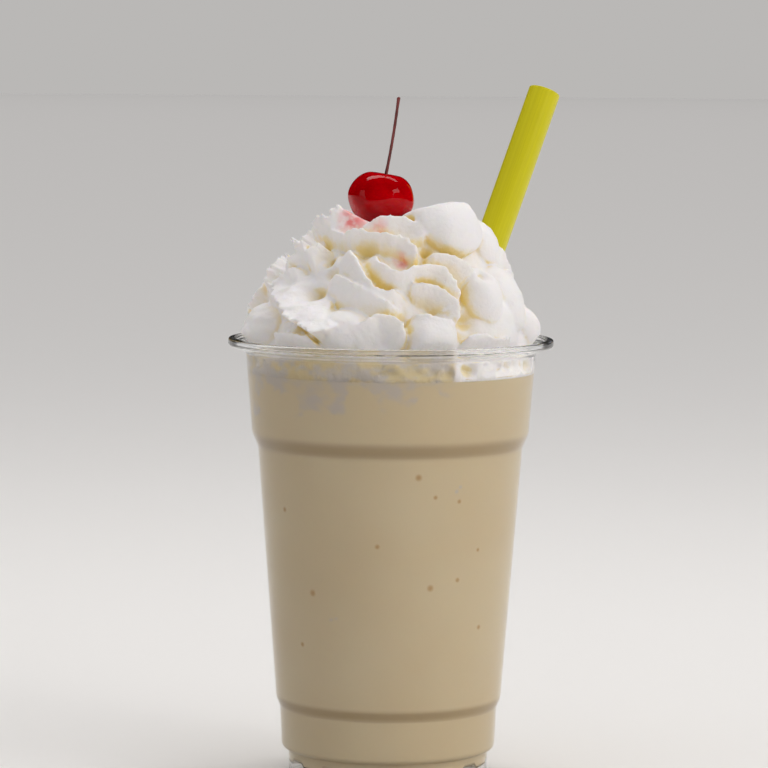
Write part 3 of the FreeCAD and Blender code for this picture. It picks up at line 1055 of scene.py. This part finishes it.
@dataclass
class Relief:
    """Heights over the mound's heart, on a grid of places all round it."""

    mound: Mound
    columns: int
    rows: int
    blend: float = 3.2
    rim_drop: float = 4.0
    gain: float = 1.25
    cap: float = 34.0
    swell: float = 0.7
    swell_size: float = 17.0
    crest_step: float = 0.35
    end_fade: float = 0.16
    wave: float = 0.17
    wave_size: float = 8.0
    batch: int = 4000

    def __post_init__(self) -> None:
        """Lays the grid out and starts with a faint swell."""
        turn = np.linspace(0, 2 * np.pi, self.columns, endpoint=False)
        rise = np.linspace(-self.rim_drop, self.cap, 300)
        wall = np.stack([self.mound.radius(rise), rise])
        cap = np.stack([np.linspace(wall[0, -1], 0.6, 60)[1:], self.cap - np.linspace(0, 2.5, 60)[1:]])
        line = np.concatenate([wall, cap], axis=1).T
        run = run_along(line)
        even = np.linspace(0, run[-1], self.rows)
        reach, height = (np.interp(even, run, line[:, axis]) for axis in (0, 1))
        out, up = self.mound.normal(np.clip(height, -3, 40))
        inner = np.clip(1 - reach / 10.0, 0, 1)
        up = up + inner
        size = np.hypot(out, up)
        way = np.stack([np.cos(turn), np.sin(turn)], axis=-1)
        self.ground = self.round_grid(reach, height, way)
        self.normal = self.round_grid(out / size, up / size, way)
        self.ground[..., 0] += self.mound.skew * np.maximum(self.ground[..., 2], 0.0)
        self.shift = np.zeros_like(self.ground)
        swell = self.swell + self.swell * ripple(self.ground, self.swell_size, 3)
        self.power = np.exp(self.blend * swell)

    def round_grid(self, outward: np.ndarray, upward: np.ndarray, way: np.ndarray) -> np.ndarray:
        """Turns one line of values round the middle.

        Args:
            outward: Each row's part away from the middle.
            upward: Each row's part upwards.
            way: Each column's way from the middle.

        Returns:
            Rows by columns by three.
        """
        rise = np.broadcast_to(upward[:, None, None], (self.rows, self.columns, 1))
        return np.concatenate([outward[:, None, None] * way[None], rise], axis=2)

    def raise_by(self, where: np.ndarray, height: np.ndarray, shift: np.ndarray) -> None:
        """Blends one feature into the relief: the highest wins, with a soft seam.

        Args:
            where: The grid places that it touches.
            height: Its height there.
            shift: How far it moves them aside.
        """
        power = np.maximum(np.exp(self.blend * height) - 1.0, 0.0)
        before = self.power[where]
        mix = (power / (before + power))[:, None]
        self.shift[where] = self.shift[where] * (1 - mix) + shift * mix
        self.power[where] = before + power

    def add_fold(self, fold: Fold, turn: float) -> None:
        """Adds a fold.

        Args:
            fold: The fold.
            turn: How far round from the front it lies, in degrees.
        """
        lifts = [place[2] * self.gain for place in fold.crest]
        keys = []
        for (across, rise, _), lift in zip(fold.crest, lifts):
            foot, way = self.mound.foot(across, rise, lift, turn)
            keys.append((*foot, *way, lift))
        path = smooth_path(np.array(keys), self.crest_step)
        line, normal, height = path[:, :3], unit(path[:, 3:6]), path[:, 6]
        along = unit(np.gradient(line, axis=0))
        side = unit(np.cross(along, normal))
        run = run_along(line)
        share = run / run[-1]
        ends = np.clip(np.minimum(share, 1 - share) / self.end_fade, 0, 1)
        ends = ends * ends * (3 - 2 * ends)
        teeth = spikes(run, fold.seed) * fold.torn
        wander = ripple(line, 6.0, fold.seed + 40) * (0.25 + 0.35 * fold.torn)
        line = line + side * (wander - 0.8 * teeth)[:, None]
        height = height + 0.9 * teeth + ripple(line, 9.0, fold.seed + 70) * 0.4
        span = max(fold.face, fold.drop) + 1.0
        low, high = line.min(axis=0) - span, line.max(axis=0) + span
        where = np.all((self.ground > low) & (self.ground < high), axis=2)
        points = self.ground[where]
        away = np.full(len(points), 1e9)
        nearest = np.zeros(len(points), int)
        for first in range(0, len(points), self.batch):
            part = slice(first, first + self.batch)
            gaps = np.linalg.norm(points[part][:, None] - line[None], axis=2)
            nearest[part] = gaps.argmin(axis=1)
            away[part] = gaps.min(axis=1)
        to_side = np.sum((points - line[nearest]) * side[nearest], axis=1)
        signed = np.where(to_side >= 0, away, -away)
        rise, lean = fold.rise(signed, ends[nearest], height[nearest])
        self.raise_by(where, rise, -side[nearest] * lean[:, None])

    def add_petal(self, petal: Petal) -> None:
        """Adds a petal to the front.

        Args:
            petal: The petal.
        """
        across, rise, lift = petal.middle
        lift = lift * self.gain
        foot, way = (np.array(part) for part in self.mound.foot(across, rise, lift * 0.45, 0.0))
        right = unit(np.cross([0, 0, 1.0], way))
        up = np.cross(way, right)
        gap = self.ground - foot
        wave = 1 + self.wave * ripple(self.ground, self.wave_size, int(abs(across) * 10))
        aside = (np.abs(gap @ right) / petal.wide) ** petal.square
        above = (np.abs(gap @ up) / petal.tall) ** petal.square
        far = (aside + above) / wave
        near = np.linalg.norm(gap, axis=2) < 2.2 * max(petal.wide, petal.tall)
        where = (far < 1) & near
        away = unit(gap[where] - way * (gap[where] @ way)[:, None])
        bulge = petal.pillow * np.clip(far[where], 0, 1) ** 1.5
        self.raise_by(where, lift * (1 - far[where]) ** petal.edge, away * bulge[:, None])

    def add_dent(self, dent: Dent) -> None:
        """Sinks a small hollow into the relief.

        Args:
            dent: The hollow.
        """
        foot, _ = self.mound.foot(dent.across, dent.height, 2.5, 0.0)
        far = np.linalg.norm(self.ground - np.array(foot), axis=2) / dent.size
        self.power *= np.exp(-self.blend * dent.depth * np.exp(-(far**2)))

    def rings(self, torn_left: float = 0.26) -> np.ndarray:
        """The grid with its relief.

        Args:
            torn_left: How rough the torn left side is, in millimetres.

        Returns:
            Rows by columns by three, in millimetres above the rim.
        """
        height = np.log(self.power) / self.blend
        front = np.clip(-self.ground[..., 1] / 14 + 0.6, 0.25, 1)
        left = np.clip((-self.ground[..., 0] - 10) / 12, 0, 1) * front
        tears = ripple(self.ground, 2.6, 21) + 2.6 * ripple(self.ground, 5.5, 23)
        height = height + tears * torn_left * left
        height = height + ripple(self.ground, 5.0, 22) * 0.16 + ripple(self.ground, 2.6, 24) * 0.11
        fade = np.clip((self.ground[..., 2] + self.rim_drop) / 3.0, 0, 1)
        return self.ground + (self.normal * height[..., None] + self.shift) * fade[..., None]


@dataclass
class Cream:
    """The whipped cream on the drink: a piped swirl with folds, petals and torn crests."""

    cup: Cup
    level: float
    voxel: float = 0.5
    mound: Mound = field(default_factory=Mound)
    folds: tuple = ()
    petals: tuple = ()
    dents: tuple = ()
    behind: tuple = ((121.0, False), (180.0, True), (239.0, False))
    behind_reach: float = 23.0
    gaps_right: float = -40.0
    gaps_left: float = 212.0
    over_rim: float = 1.5
    rim_gap: float = 3.4
    cling: float = 0.45
    most_triangles: int = 192_000
    ray_count: int = 14
    ray_reach: float = 11.0
    finish: CreamFinish = field(default_factory=CreamFinish)

    def plug(self, columns: int) -> np.ndarray:
        """The part that fills the cup's top, lumpy where it keeps off the wall.

        Args:
            columns: Points in each ring.

        Returns:
            Its rings, in millimetres above the rim.
        """
        turn = np.linspace(0, 2 * np.pi, columns, endpoint=False)
        right = np.clip(np.cos(turn - math.radians(self.gaps_right)) * 2.2 - 1.0, 0, 1)
        left = np.clip(np.cos(turn - math.radians(self.gaps_left)) * 1.5 - 0.9, 0, 1)
        half = self.cup.wall / 2
        drop = self.level - self.cup.height
        rings = []
        for height in [drop - 0.8, *np.linspace(drop + 0.05, -4.6, 12)]:
            reach = self.cup.radius_at(self.cup.height + height, half) - (1.6 if height < drop else 0.15)
            flat = [reach * np.cos(turn), reach * np.sin(turn), np.full_like(turn, height)]
            ring = np.stack(flat, axis=1)
            lumps = ripple(ring, 8.0, 5) + 0.4 * ripple(ring, 3.6, 6)
            low_edge = np.clip((height - drop - 0.6) / 2.0, 0.0, 1)
            off = np.clip(lumps * 2.4 * (right + 0.4 * left) + 1.4 * right, 0, 4.5) * low_edge
            rings.append(ring - ring * (off / reach)[:, None] * np.array([1, 1, 0]))
        return np.array(rings)

    def press_to_wall(self, piece: bpy.types.Object) -> None:
        """Presses what is below the rim flat against the cup's wall, and keeps it inside.

        Args:
            piece: The cream.
        """
        half = self.cup.wall / 2
        shoulder = self.cup.height - self.cup.lip_drop
        for vertex in piece.data.vertices:
            place = vertex.co
            height = place.z / MM
            radius = math.hypot(place.x, place.y) / MM
            if height > self.cup.height + self.over_rim:
                continue
            if height > self.cup.height - 0.3:
                limit, slack = self.cup.rim_radius - self.rim_gap, 0.0
            elif height > shoulder:
                limit, slack = self.cup.mouth - 0.1, 0.0
            else:
                limit, slack = self.cup.radius_at(height, half), self.cling
            if radius > limit - slack:
                place.x *= limit / radius
                place.y *= limit / radius

    def thin_out(self, piece: bpy.types.Object) -> None:
        """Merges the flattest faces until the piece has no more triangles than most_triangles.

        Args:
            piece: The cream.
        """
        triangles = 2 * len(piece.data.polygons)
        if triangles > self.most_triangles:
            apply_modifier(piece, "DECIMATE", ratio=self.most_triangles / triangles)

    def mark_painted_fold_shade(self, piece: bpy.types.Object) -> None:
        """Stores on each vertex how much the nearby folds hide it from rays, from 0 to 1, from which the
        finish paints yellow shade into the hollows.

        Args:
            piece: The cream.
        """
        tree = BVHTree.FromObject(piece, bpy.context.evaluated_depsgraph_get())
        rng = np.random.default_rng(11)
        rays = unit(rng.normal(size=(self.ray_count, 3)))
        mesh = piece.data
        marks = mesh.attributes.new("fold", "FLOAT", "POINT")
        values = np.zeros(len(mesh.vertices))
        reach = self.ray_reach * MM
        directions = [Vector(ray) for ray in rays]
        for row, vertex in enumerate(mesh.vertices):
            normal = vertex.normal
            start = vertex.co + normal * (0.3 * MM)
            hits = 0.0
            for direction in directions:
                way = (normal + direction * 0.85).normalized()
                hit = tree.ray_cast(start, way, reach)
                if hit[3] is not None:
                    hits += 1.0 - 0.6 * hit[3] / reach
            values[row] = hits / len(directions)
        marks.data.foreach_set("value", values.astype(np.float32))

    def build(self) -> bpy.types.Object:
        """Makes the cream.

        Returns:
            The finished piece.
        """
        columns = 760
        relief = Relief(self.mound, columns, columns // 5)
        for fold in self.folds:
            relief.add_fold(fold, 0.0)
        for petal in self.petals:
            relief.add_petal(petal)
        for dent in self.dents:
            relief.add_dent(dent)
        for turn, mirrored in self.behind:
            for fold in self.folds:
                if max(abs(place[0]) for place in fold.crest) < self.behind_reach:
                    relief.add_fold(fold.mirror() if mirrored else fold, turn)
        rings = np.concatenate([self.plug(columns), relief.rings()])
        piece = swept("cream_swirl", rings + np.array([0.0, 0.0, self.cup.height]))
        voxel = self.voxel * 1.0
        apply_modifier(piece, "REMESH", mode="VOXEL", voxel_size=voxel * MM)
        keep_main_part(piece)
        apply_modifier(piece, "SMOOTH", factor=0.5, iterations=1)
        self.press_to_wall(piece)
        self.thin_out(piece)
        shade_smooth(piece, 180)
        # occlusion from which the finish paints shade into the hollows
        self.mark_painted_fold_shade(piece)
        finish_piece(piece, self.finish.material(), "whipped_cream")
        return piece


# ---------------------------------------------------------------- the cherry and the straw


@dataclass
class Cherry:
    """The cherry: a slightly lumpy ball with a dimple at its top. Sizes in millimetres."""

    centre: Vector
    radius: float
    half_height: float
    lean: float = 9.0
    dimple: float = 2.2
    dimple_width: float = 3.4
    finish: CherryFinish = field(default_factory=CherryFinish)

    def build(self) -> bpy.types.Object:
        """Makes the cherry.

        Returns:
            The finished piece.
        """
        bpy.ops.object.select_all(action="DESELECT")
        bpy.ops.mesh.primitive_uv_sphere_add(segments=72, ring_count=48, radius=self.radius * MM)
        piece = bpy.context.object
        piece.name = "cherry_fruit"
        squash = self.half_height / self.radius
        for vertex in piece.data.vertices:
            x, y, z = vertex.co / MM
            away = math.hypot(x, y) / self.dimple_width
            z = z * squash - self.dimple * math.exp(-away * away) * (z > 0)
            seam = 1 - 0.012 * math.exp(-(((y + 1.5) / 2.0) ** 2)) * (x > 0)
            wave = 1 + 0.012 * math.sin(0.5 * x + 1.1 * y) + 0.010 * math.sin(0.7 * z - 0.6 * x + 2.0)
            vertex.co = Vector((x * wave * seam, y * wave, z)) * MM
        piece.rotation_euler = (0, math.radians(self.lean), 0)
        piece.location = self.centre * MM
        apply_place(piece)
        apply_modifier(piece, "SUBSURF", levels=1, render_levels=1)
        shade_smooth(piece, 180)
        finish_piece(piece, self.finish.material(), "cherry")
        return piece


@dataclass
class Stem:
    """The stalk, from inside the dimple to its dry tip. Sizes in millimetres."""

    root: Vector
    tip: Vector
    radius: float = 0.45
    bow: float = 0.3
    knob: float = 0.8
    finish: StemFinish = field(default_factory=StemFinish)

    def build(self) -> bpy.types.Object:
        """Makes the stalk.

        Returns:
            The finished piece.
        """
        bpy.ops.object.select_all(action="DESELECT")
        bpy.ops.mesh.primitive_circle_add(
            vertices=20, radius=self.radius * MM, location=self.root * MM, fill_type="NGON"
        )
        piece = bpy.context.object
        piece.name = "cherry_stalk"
        apply_place(piece)
        bpy.ops.object.mode_set(mode="EDIT")
        bpy.ops.mesh.select_all(action="SELECT")
        steps, here, size = 26, self.root.copy(), self.radius
        for step in range(1, steps + 1):
            share = step / steps
            place = self.root.lerp(self.tip, share)
            place.x += self.bow * math.sin(math.pi * share)
            swell = math.exp(-(((share - 0.985) / 0.018) ** 2)) * (self.knob - self.radius)
            flare = 0.35 * math.exp(-share * 14)
            wanted = self.radius * (1.0 + 0.08 * math.sin(step * 1.9)) + swell + flare
            bpy.ops.mesh.extrude_region_move(TRANSFORM_OT_translate={"value": (place - here) * MM})
            scale = wanted / size
            bpy.ops.transform.resize(value=(scale, scale, 1), center_override=place * MM)
            here, size = place, wanted
        bpy.ops.mesh.select_all(action="SELECT")
        bpy.ops.mesh.normals_make_consistent(inside=False)
        bpy.ops.object.mode_set(mode="OBJECT")
        apply_modifier(piece, "SUBSURF", levels=1, render_levels=1)
        shade_smooth(piece, 60)
        finish_piece(piece, self.finish.material(), "cherry_stem")
        return piece


@dataclass
class Straw:
    """The straight tube, placed along its CAD node's own line. Sizes in millimetres."""

    low: Vector
    high: Vector
    radius: float = 4.95
    wall: float = 0.35
    finish: StrawFinish = field(default_factory=StrawFinish)

    def build(self) -> bpy.types.Object:
        """Makes the straw.

        Returns:
            The finished piece.
        """
        length = (self.high - self.low).length
        inner, ease = self.radius - self.wall, self.wall * 0.3
        edge = [
            (inner, length - ease),
            (inner + ease, length),
            (self.radius - ease, length),
            (self.radius, length - ease),
        ]
        outside = [(self.radius, ease), (self.radius - ease, 0), (inner + ease, 0), (inner, ease)]
        piece = turned("straw_tube", [*edge, *outside, (inner, length - ease)], 64, filled=False)
        mesh = piece.data
        marks = mesh.attributes.new("around", "FLOAT_VECTOR", "POINT")
        for vertex, mark in zip(mesh.vertices, marks.data):
            turn = math.atan2(vertex.co.y, vertex.co.x)
            mark.vector = (math.cos(turn) * 2, math.sin(turn) * 2, vertex.co.z * 3)
        turn = (self.high - self.low).to_track_quat("Z", "Y")
        piece.matrix_world = Matrix.Translation(self.low * MM) @ turn.to_matrix().to_4x4()
        apply_place(piece)
        shade_smooth(piece, 40)
        finish_piece(piece, self.finish.material(), "straw")
        return piece


def tube_line(box: Sequence[Sequence[float]], radius: float) -> tuple[Vector, Vector]:
    """Works out a tube's centre line from the box that holds it.

    Args:
        box: The lowest and highest corner, in metres.
        radius: The tube's radius, in millimetres.

    Returns:
        The line's lower and upper end, in millimetres.
    """
    low, high = (Vector(corner) / MM for corner in box)
    extent, middle = high - low, (low + high) / 2
    run = extent.copy()
    for _ in range(30):
        way = run.normalized()
        run = Vector(e - 2 * radius * math.sqrt(max(0.0, 1 - w * w)) for e, w in zip(extent, way))
    return middle - run / 2, middle + run / 2


# ---------------------------------------------------------------- the studio


class Side(Enum):
    """Where a light stands round the object, as the angle from the front towards +X."""

    RIGHT = 58.0
    EDGE = 51.0
    LEFT = -66.0
    BACK = 172.0


@dataclass(frozen=True)
class Softbox:
    """A soft rectangular light. Sizes in metres."""

    name: str
    side: Side
    distance: float
    height: float
    width: float
    tall: float
    power: float
    warmth: tuple = (1.0, 0.985, 0.98)
    mirrored: bool = True

    def build(self, aim: Vector) -> None:
        """Adds the light.

        Args:
            aim: The point that it is turned towards.
        """
        light = bpy.data.lights.new(self.name, "AREA")
        light.shape, light.size, light.size_y = "RECTANGLE", self.width, self.tall
        light.energy, light.color = self.power, self.warmth
        lamp = bpy.data.objects.new(self.name, light)
        turn = math.radians(self.side.value)
        lamp.location = (math.sin(turn) * self.distance, -math.cos(turn) * self.distance, self.height)
        lamp.rotation_euler = (aim - lamp.location).to_track_quat("-Z", "Y").to_euler()
        lamp.visible_camera = False
        lamp.visible_glossy = self.mirrored
        bpy.context.scene.collection.objects.link(lamp)


@dataclass
class Studio:
    """The floor, the lights, the surroundings and the camera. Sizes in metres."""

    aim: Vector
    camera_place: Vector
    lens: float
    roll: float
    lights: tuple
    sky: tuple = (0.80, 0.80, 0.82)
    sky_strength: float = 0.28
    backdrop: tuple = (0.49, 0.479, 0.468)
    floor_radius: float = 30.0
    floor_finish: FloorFinish = field(default_factory=FloorFinish)

    def build_floor(self) -> None:
        """Lays the floor: a wide round sheet."""
        bpy.ops.object.select_all(action="DESELECT")
        bpy.ops.mesh.primitive_circle_add(vertices=96, radius=self.floor_radius, fill_type="NGON")
        floor = bpy.context.object
        floor.name = "studio_floor"
        bpy.ops.object.mode_set(mode="EDIT")
        bpy.ops.mesh.select_all(action="SELECT")
        bpy.ops.mesh.inset(thickness=self.floor_radius * 0.1)
        bpy.ops.object.mode_set(mode="OBJECT")
        floor.data.materials.append(self.floor_finish.material())

    def build_sky(self) -> None:
        """Sets the even light from all around, and the paler backdrop that the camera sees."""
        world = bpy.data.worlds.new("studio")
        world.use_nodes = True
        tree = world.node_tree
        light = tree.nodes["Background"]
        light.inputs["Color"].default_value = (*self.sky, 1.0)
        light.inputs["Strength"].default_value = self.sky_strength
        backdrop = tree.nodes.new("ShaderNodeBackground")
        backdrop.inputs["Color"].default_value = (*self.backdrop, 1.0)
        seen = tree.nodes.new("ShaderNodeLightPath").outputs["Is Camera Ray"]
        both = tree.nodes.new("ShaderNodeMixShader")
        tree.links.new(seen, both.inputs[0])
        tree.links.new(light.outputs[0], both.inputs[1])
        tree.links.new(backdrop.outputs[0], both.inputs[2])
        tree.links.new(both.outputs[0], tree.nodes["World Output"].inputs["Surface"])
        world.cycles_visibility.glossy = False
        bpy.context.scene.world = world

    def build_camera(self) -> None:
        """Places the camera."""
        camera = bpy.data.cameras.new("camera")
        camera.lens, camera.sensor_width = self.lens, 36.0
        camera.clip_start, camera.clip_end = 0.05, 90.0
        holder = bpy.data.objects.new("camera", camera)
        holder.location = self.camera_place
        turn = (self.aim - self.camera_place).to_track_quat("-Z", "Y").to_matrix()
        holder.rotation_euler = (turn @ Matrix.Rotation(math.radians(self.roll), 3, "Z")).to_euler()
        bpy.context.scene.collection.objects.link(holder)
        bpy.context.scene.camera = holder

    def build(self) -> None:
        """Makes all of the studio."""
        self.build_floor()
        self.build_sky()
        for light in self.lights:
            light.build(self.aim)
        self.build_camera()
        bpy.context.scene.view_settings.view_transform = "Standard"


# ---------------------------------------------------------------- this milkshake


FOLDS = (
    # the lip in front of the cherry
    Fold(
        crest=(
            (-10.5, 31, 1.5), (-8.6, 33.8, 2.6), (-5, 36.4, 3.6), (-1.5, 37.6, 4),
            (3.5, 36.9, 4), (7.2, 35.3, 4), (9.5, 31.8, 4), (11, 28.4, 2),
        ),
        face=4.6,
    ),
    # the ridge below it, which curls in at its end
    Fold(
        crest=(
            (-22, 31.5, 3), (-17, 33.0, 5), (-11, 33.2, 5.5), (-4, 32.6, 5.5), (1.5, 31.8, 6),
            (5.5, 29.8, 6), (7.2, 26.8, 5.5), (5.5, 24.6, 4.5), (2.2, 24.0, 3),
        ),
        face=3.8,
    ),
    # the long fold that bends like an S
    Fold(
        crest=(
            (-5, 29.5, 3), (-5.2, 26.0, 5), (-3.5, 24, 6.5), (0, 22.4, 7), (4, 22.0, 7),
            (8, 23.0, 7), (11.7, 23.2, 7), (15, 22.6, 7), (17.6, 20.5, 7), (19.4, 17.5, 6.5),
            (21, 14, 5.5), (22.5, 10.5, 3.5),
        ),
        face=6.5, swell=1.2,
    ),
    # the pointed fold to the left and its run to the middle
    Fold(
        crest=(
            (-14.2, 29.4, 4), (-12.3, 27, 5.5), (-10.5, 24.2, 6), (-8.6, 20.8, 6.5),
            (-6.3, 17.6, 6.5), (-3, 16.2, 6), (1, 16.2, 5.5), (5, 17.4, 4),
        ),
        face=8.0, swell=1.1,
    ),
    # the loop in the middle
    Fold(
        crest=(
            (3, 16.6, 4), (6, 17.9, 5.5), (9.5, 18.0, 6), (14.5, 16.9, 6.5), (18.2, 14.4, 7),
            (19.6, 11.2, 7), (19.3, 8.2, 6.5), (18.2, 5, 4),
        ),
        face=5.0, drop=1.6,
    ),
    # the ridge from the left to the bottom lobe
    Fold(
        crest=(
            (-19, 21.9, 4), (-15.5, 19.9, 5), (-11, 17.6, 5.5), (-7, 15.6, 6), (-3, 13.6, 6),
            (1, 11.8, 5.5), (5, 9.9, 4),
        ),
        face=8.0, swell=1.1,
    ),
    # the crest over the bottom lobe
    Fold(
        crest=(
            (4, 8.4, 3), (7, 9.4, 5.5), (10, 9.7, 7), (14, 9.0, 7.5), (17.5, 7.6, 7),
            (19.5, 4.5, 5),
        ),
        face=7.0, drop=1.6,
    ),
    # the crest at the bottom left of it
    Fold(
        crest=(
            (-14, 2.5, 4), (-10.5, 5.2, 5.5), (-7, 7.8, 6.5), (-3.8, 9.7, 7), (-0.5, 9.4, 7.5),
            (2.4, 7.4, 7.5), (3.6, 4, 6.5), (3.4, 0.5, 5),
        ),
        face=6.5, drop=1.8,
    ),
    # the overhanging lower edge of the torn slab
    Fold(
        crest=(
            (-11, 10.5, 5), (-15, 9.2, 7), (-18, 7.4, 8), (-20.5, 6.4, 8.5), (-23, 6.2, 9),
            (-25, 7.6, 9), (-27.5, 8.4, 9), (-30, 9.6, 9), (-32, 12, 8.5), (-34, 14.6, 7.5),
            (-35.5, 18, 5.5), (-35, 20.5, 4),
        ),
        face=11, drop=1.3, lean=1.6, swell=0.9, torn=0.8, seed=6,
    ),
    # its upper edge, and the torn crests above
    Fold(
        crest=(
            (-38, 11.5, 3), (-36.5, 15.5, 6), (-34, 19, 6.5), (-30, 21.8, 6), (-25, 22, 4),
        ),
        face=8, drop=1.6, torn=1.4, seed=8,
    ),
    Fold(
        crest=(
            (-33.5, 19.5, 3), (-31.5, 23.5, 6.5), (-29.8, 27.5, 7.5), (-26, 28.8, 7),
            (-21.5, 28.2, 6), (-19.5, 25.5, 4),
        ),
        face=7, drop=1.5, torn=1.6, seed=9,
    ),
    Fold(
        crest=(
            (-25, 30, 4), (-24.4, 34.2, 6), (-21.5, 36.9, 7), (-17.5, 39.4, 7),
            (-13.5, 41.4, 6.5), (-10, 41.5, 5),
        ),
        face=7, drop=1.5, torn=1.7, seed=10,
    ),
    # the sheet between the upper petal and the long fold
    Fold(
        crest=(
            (8.5, 26, 3), (13, 26.3, 5), (17, 26.2, 6), (21, 24.8, 6.5), (24.5, 22, 6),
            (27, 18.5, 4),
        ),
        face=6, drop=1.8,
    ),
    # low crests at the rim
    Fold(
        crest=(
            (19, 1.0, 4), (24, 3.2, 6), (29, 3.4, 6.5), (34, 2.0, 5.5), (38, 0, 3),
        ),
        face=5, drop=1.6,
    ),
    Fold(
        crest=(
            (-36, 1.5, 3), (-31, 3, 5), (-26, 2.5, 5), (-20.5, 0.5, 3),
        ),
        face=4, drop=1.8, torn=0.4, seed=15,
    ),
)

PETALS = (
    # the big smooth lobe beside the cherry, and the one behind it
    Petal((17.0, 36.4, 8.4), 8.2, 10.2, edge=0.32, square=2.4),
    Petal((27.2, 29.8, 5.8), 6.6, 8.4, edge=0.5, square=2.2),
    # the hanging lobe on the right
    Petal((27.4, 14.6, 7.2), 5.6, 8.8, edge=0.5, square=2.3),
    # the outer right lobes, and the swell that joins them
    Petal((35.0, 13.4, 5.4), 7.5, 10.5, edge=0.6, square=2.2),
    Petal((41.5, 4.0, 5.4), 6.0, 7.0, edge=0.6),
    Petal((31.0, 8.0, 3.6), 13.0, 12.0, edge=0.8, square=2.0, pillow=0.0),
    # the lobe over the rim in the front, and the smooth swell to the left of it
    Petal((12.0, 4.0, 7.0), 7.5, 5.8, edge=0.55),
    Petal((-14.0, 5.5, 6.0), 9.5, 7.0, square=2.0, edge=0.7, pillow=0.0),
    # the round lump at the bottom left
    Petal((-39.5, 4.0, 6.0), 8.5, 8.5, edge=0.8),
)

DENTS = (
    Dent(-22.5, 14.5, 2.6, 5.5),
    Dent(-21.0, 27.0, 1.7, 4.5),
    Dent(-19.2, 24.8, 1.6, 4.5),
    Dent(-18.0, 21.0, 1.9, 3.0),
    Dent(4.6, 1.0, 1.8, 4.5),
    Dent(22.0, 8.5, 2.6, 3.0),
    Dent(26.5, 20.5, 1.7, 4.0),
    Dent(24.5, 18.0, 1.6, 3.5),
    Dent(10.8, 27.6, 1.8, 4.0),
    Dent(-15.0, 29.0, 3.0, 2.5),
    Dent(-7.5, 27.5, 2.4, 2.5),
)

SPECKS = (
    (8.3, 94.5, 1.5),
    (12.0, 61.5, 1.5),
    (-22.5, 59.0, 1.5),
    (-31.0, 83.0, 1.2),
    (-25.5, 43.0, 1.1),
    (20.0, 63.5, 1.1),
    (-3.6, 74.0, 1.1),
    (13.3, 88.5, 1.0),
    (20.3, 87.0, 1.0),
    (26.5, 48.5, 1.1),
    (26.0, 72.0, 0.9),
)

BUBBLES = ((19.5, 90.0, 0.8), (20.6, 91.3, 0.7), (-17.0, 51.5, 0.7), (-15.5, 52.0, 0.6))


def on_drink(cup: Cup, spots: tuple) -> tuple:
    """The places of spots on the front of the drink, from their distance across and height.

    Args:
        cup: The cup that holds the drink.
        spots: Each spot's distance across, height and size.

    Returns:
        Each spot's place and size.
    """
    radii, heights, _ = zip(*cup.skin(cup.wall / 2))
    places = []
    for across, height, size in spots:
        reach = float(np.interp(height, heights, radii))
        places.append(((across, -math.sqrt(reach**2 - across**2), height), size))
    return tuple(places)


LIGHTS = (
    Softbox("ceiling", Side.BACK, 0.02, 16.0, 90.0, 90.0, 10000.0, mirrored=False),
    Softbox("key_right", Side.RIGHT, 3.2, 1.18, 3.2, 3.2, 34.0, mirrored=False),
    Softbox("fill_left", Side.LEFT, 3.6, 0.96, 1.2, 1.5, 4.6),
    Softbox("top_strip", Side.BACK, 0.30, 0.95, 0.9, 0.25, 2.5),
    Softbox("side_strip", Side.RIGHT, 0.9, 0.80, 0.22, 0.4, 0.8),
    Softbox("edge_strip", Side.EDGE, 1.2, 0.35, 0.03, 0.9, 0.12),
)


def main() -> None:
    """Builds the milkshake and its studio, piece by piece."""
    logging.basicConfig(level=logging.INFO, format="%(name)s: %(message)s")
    low, high = (Vector(corner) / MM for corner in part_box("cup"))
    cup = Cup(height=high.z - low.z, rim_radius=(high.x - low.x) / 2)
    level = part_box("milkshake")[1][2] / MM
    fruit_low, fruit_high = (Vector(corner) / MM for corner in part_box("cherry"))
    fruit = (fruit_low + fruit_high) / 2
    stem_low, stem_high = (Vector(corner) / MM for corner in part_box("cherry_stem"))
    stains = (
        ((fruit.x - 8.2, -13.5, cup.height + 35.4), 6.6, 1.0),
        ((fruit.x - 0.8, -19.0, cup.height + 33.8), 5.0, 0.4),
        ((3.2, -27.0, cup.height + 24.6), 4.0, 0.6),
    )
    shake_finish = ShakeFinish(
        level=level,
        # painted shade rings at the cup's two steps
        painted_crease_shades=(
            (cup.height - cup.band_height - cup.upper_step_height * 0.5, 3.2),
            (cup.lower_step_base + cup.lower_step_height * 0.7, 2.4),
        ),
        specks=on_drink(cup, SPECKS),
        bubbles=on_drink(cup, BUBBLES),
    )
    pieces = {
        "cup": cup.build,
        "drink": Shake(cup, level + 0.8, shake_finish).build,
        "cream": Cream(
            cup, level, folds=FOLDS, petals=PETALS, dents=DENTS, finish=CreamFinish(stains=stains)
        ).build,
        "cherry": Cherry(fruit, radius=10.0, half_height=8.7).build,
        "stem": Stem(
            root=Vector((stem_low.x + 0.6, 0, stem_low.z + 0.5)),
            tip=Vector((stem_high.x - 0.9, 0, stem_high.z - 0.6)),
        ).build,
        "straw": Straw(*tube_line(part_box("straw"), 4.95)).build,
    }
    for name, build in pieces.items():
        piece = build()
        log.info("%s: %d faces", name, len(piece.data.polygons))
    studio = Studio(
        aim=Vector((-0.002, 0.0, 0.1186)),
        camera_place=Vector((-0.002, -1.096, 0.2126)),
        lens=171.0,
        roll=0.44,
        lights=LIGHTS,
    )
    studio.build()


if __name__ == "__main__":
    main()
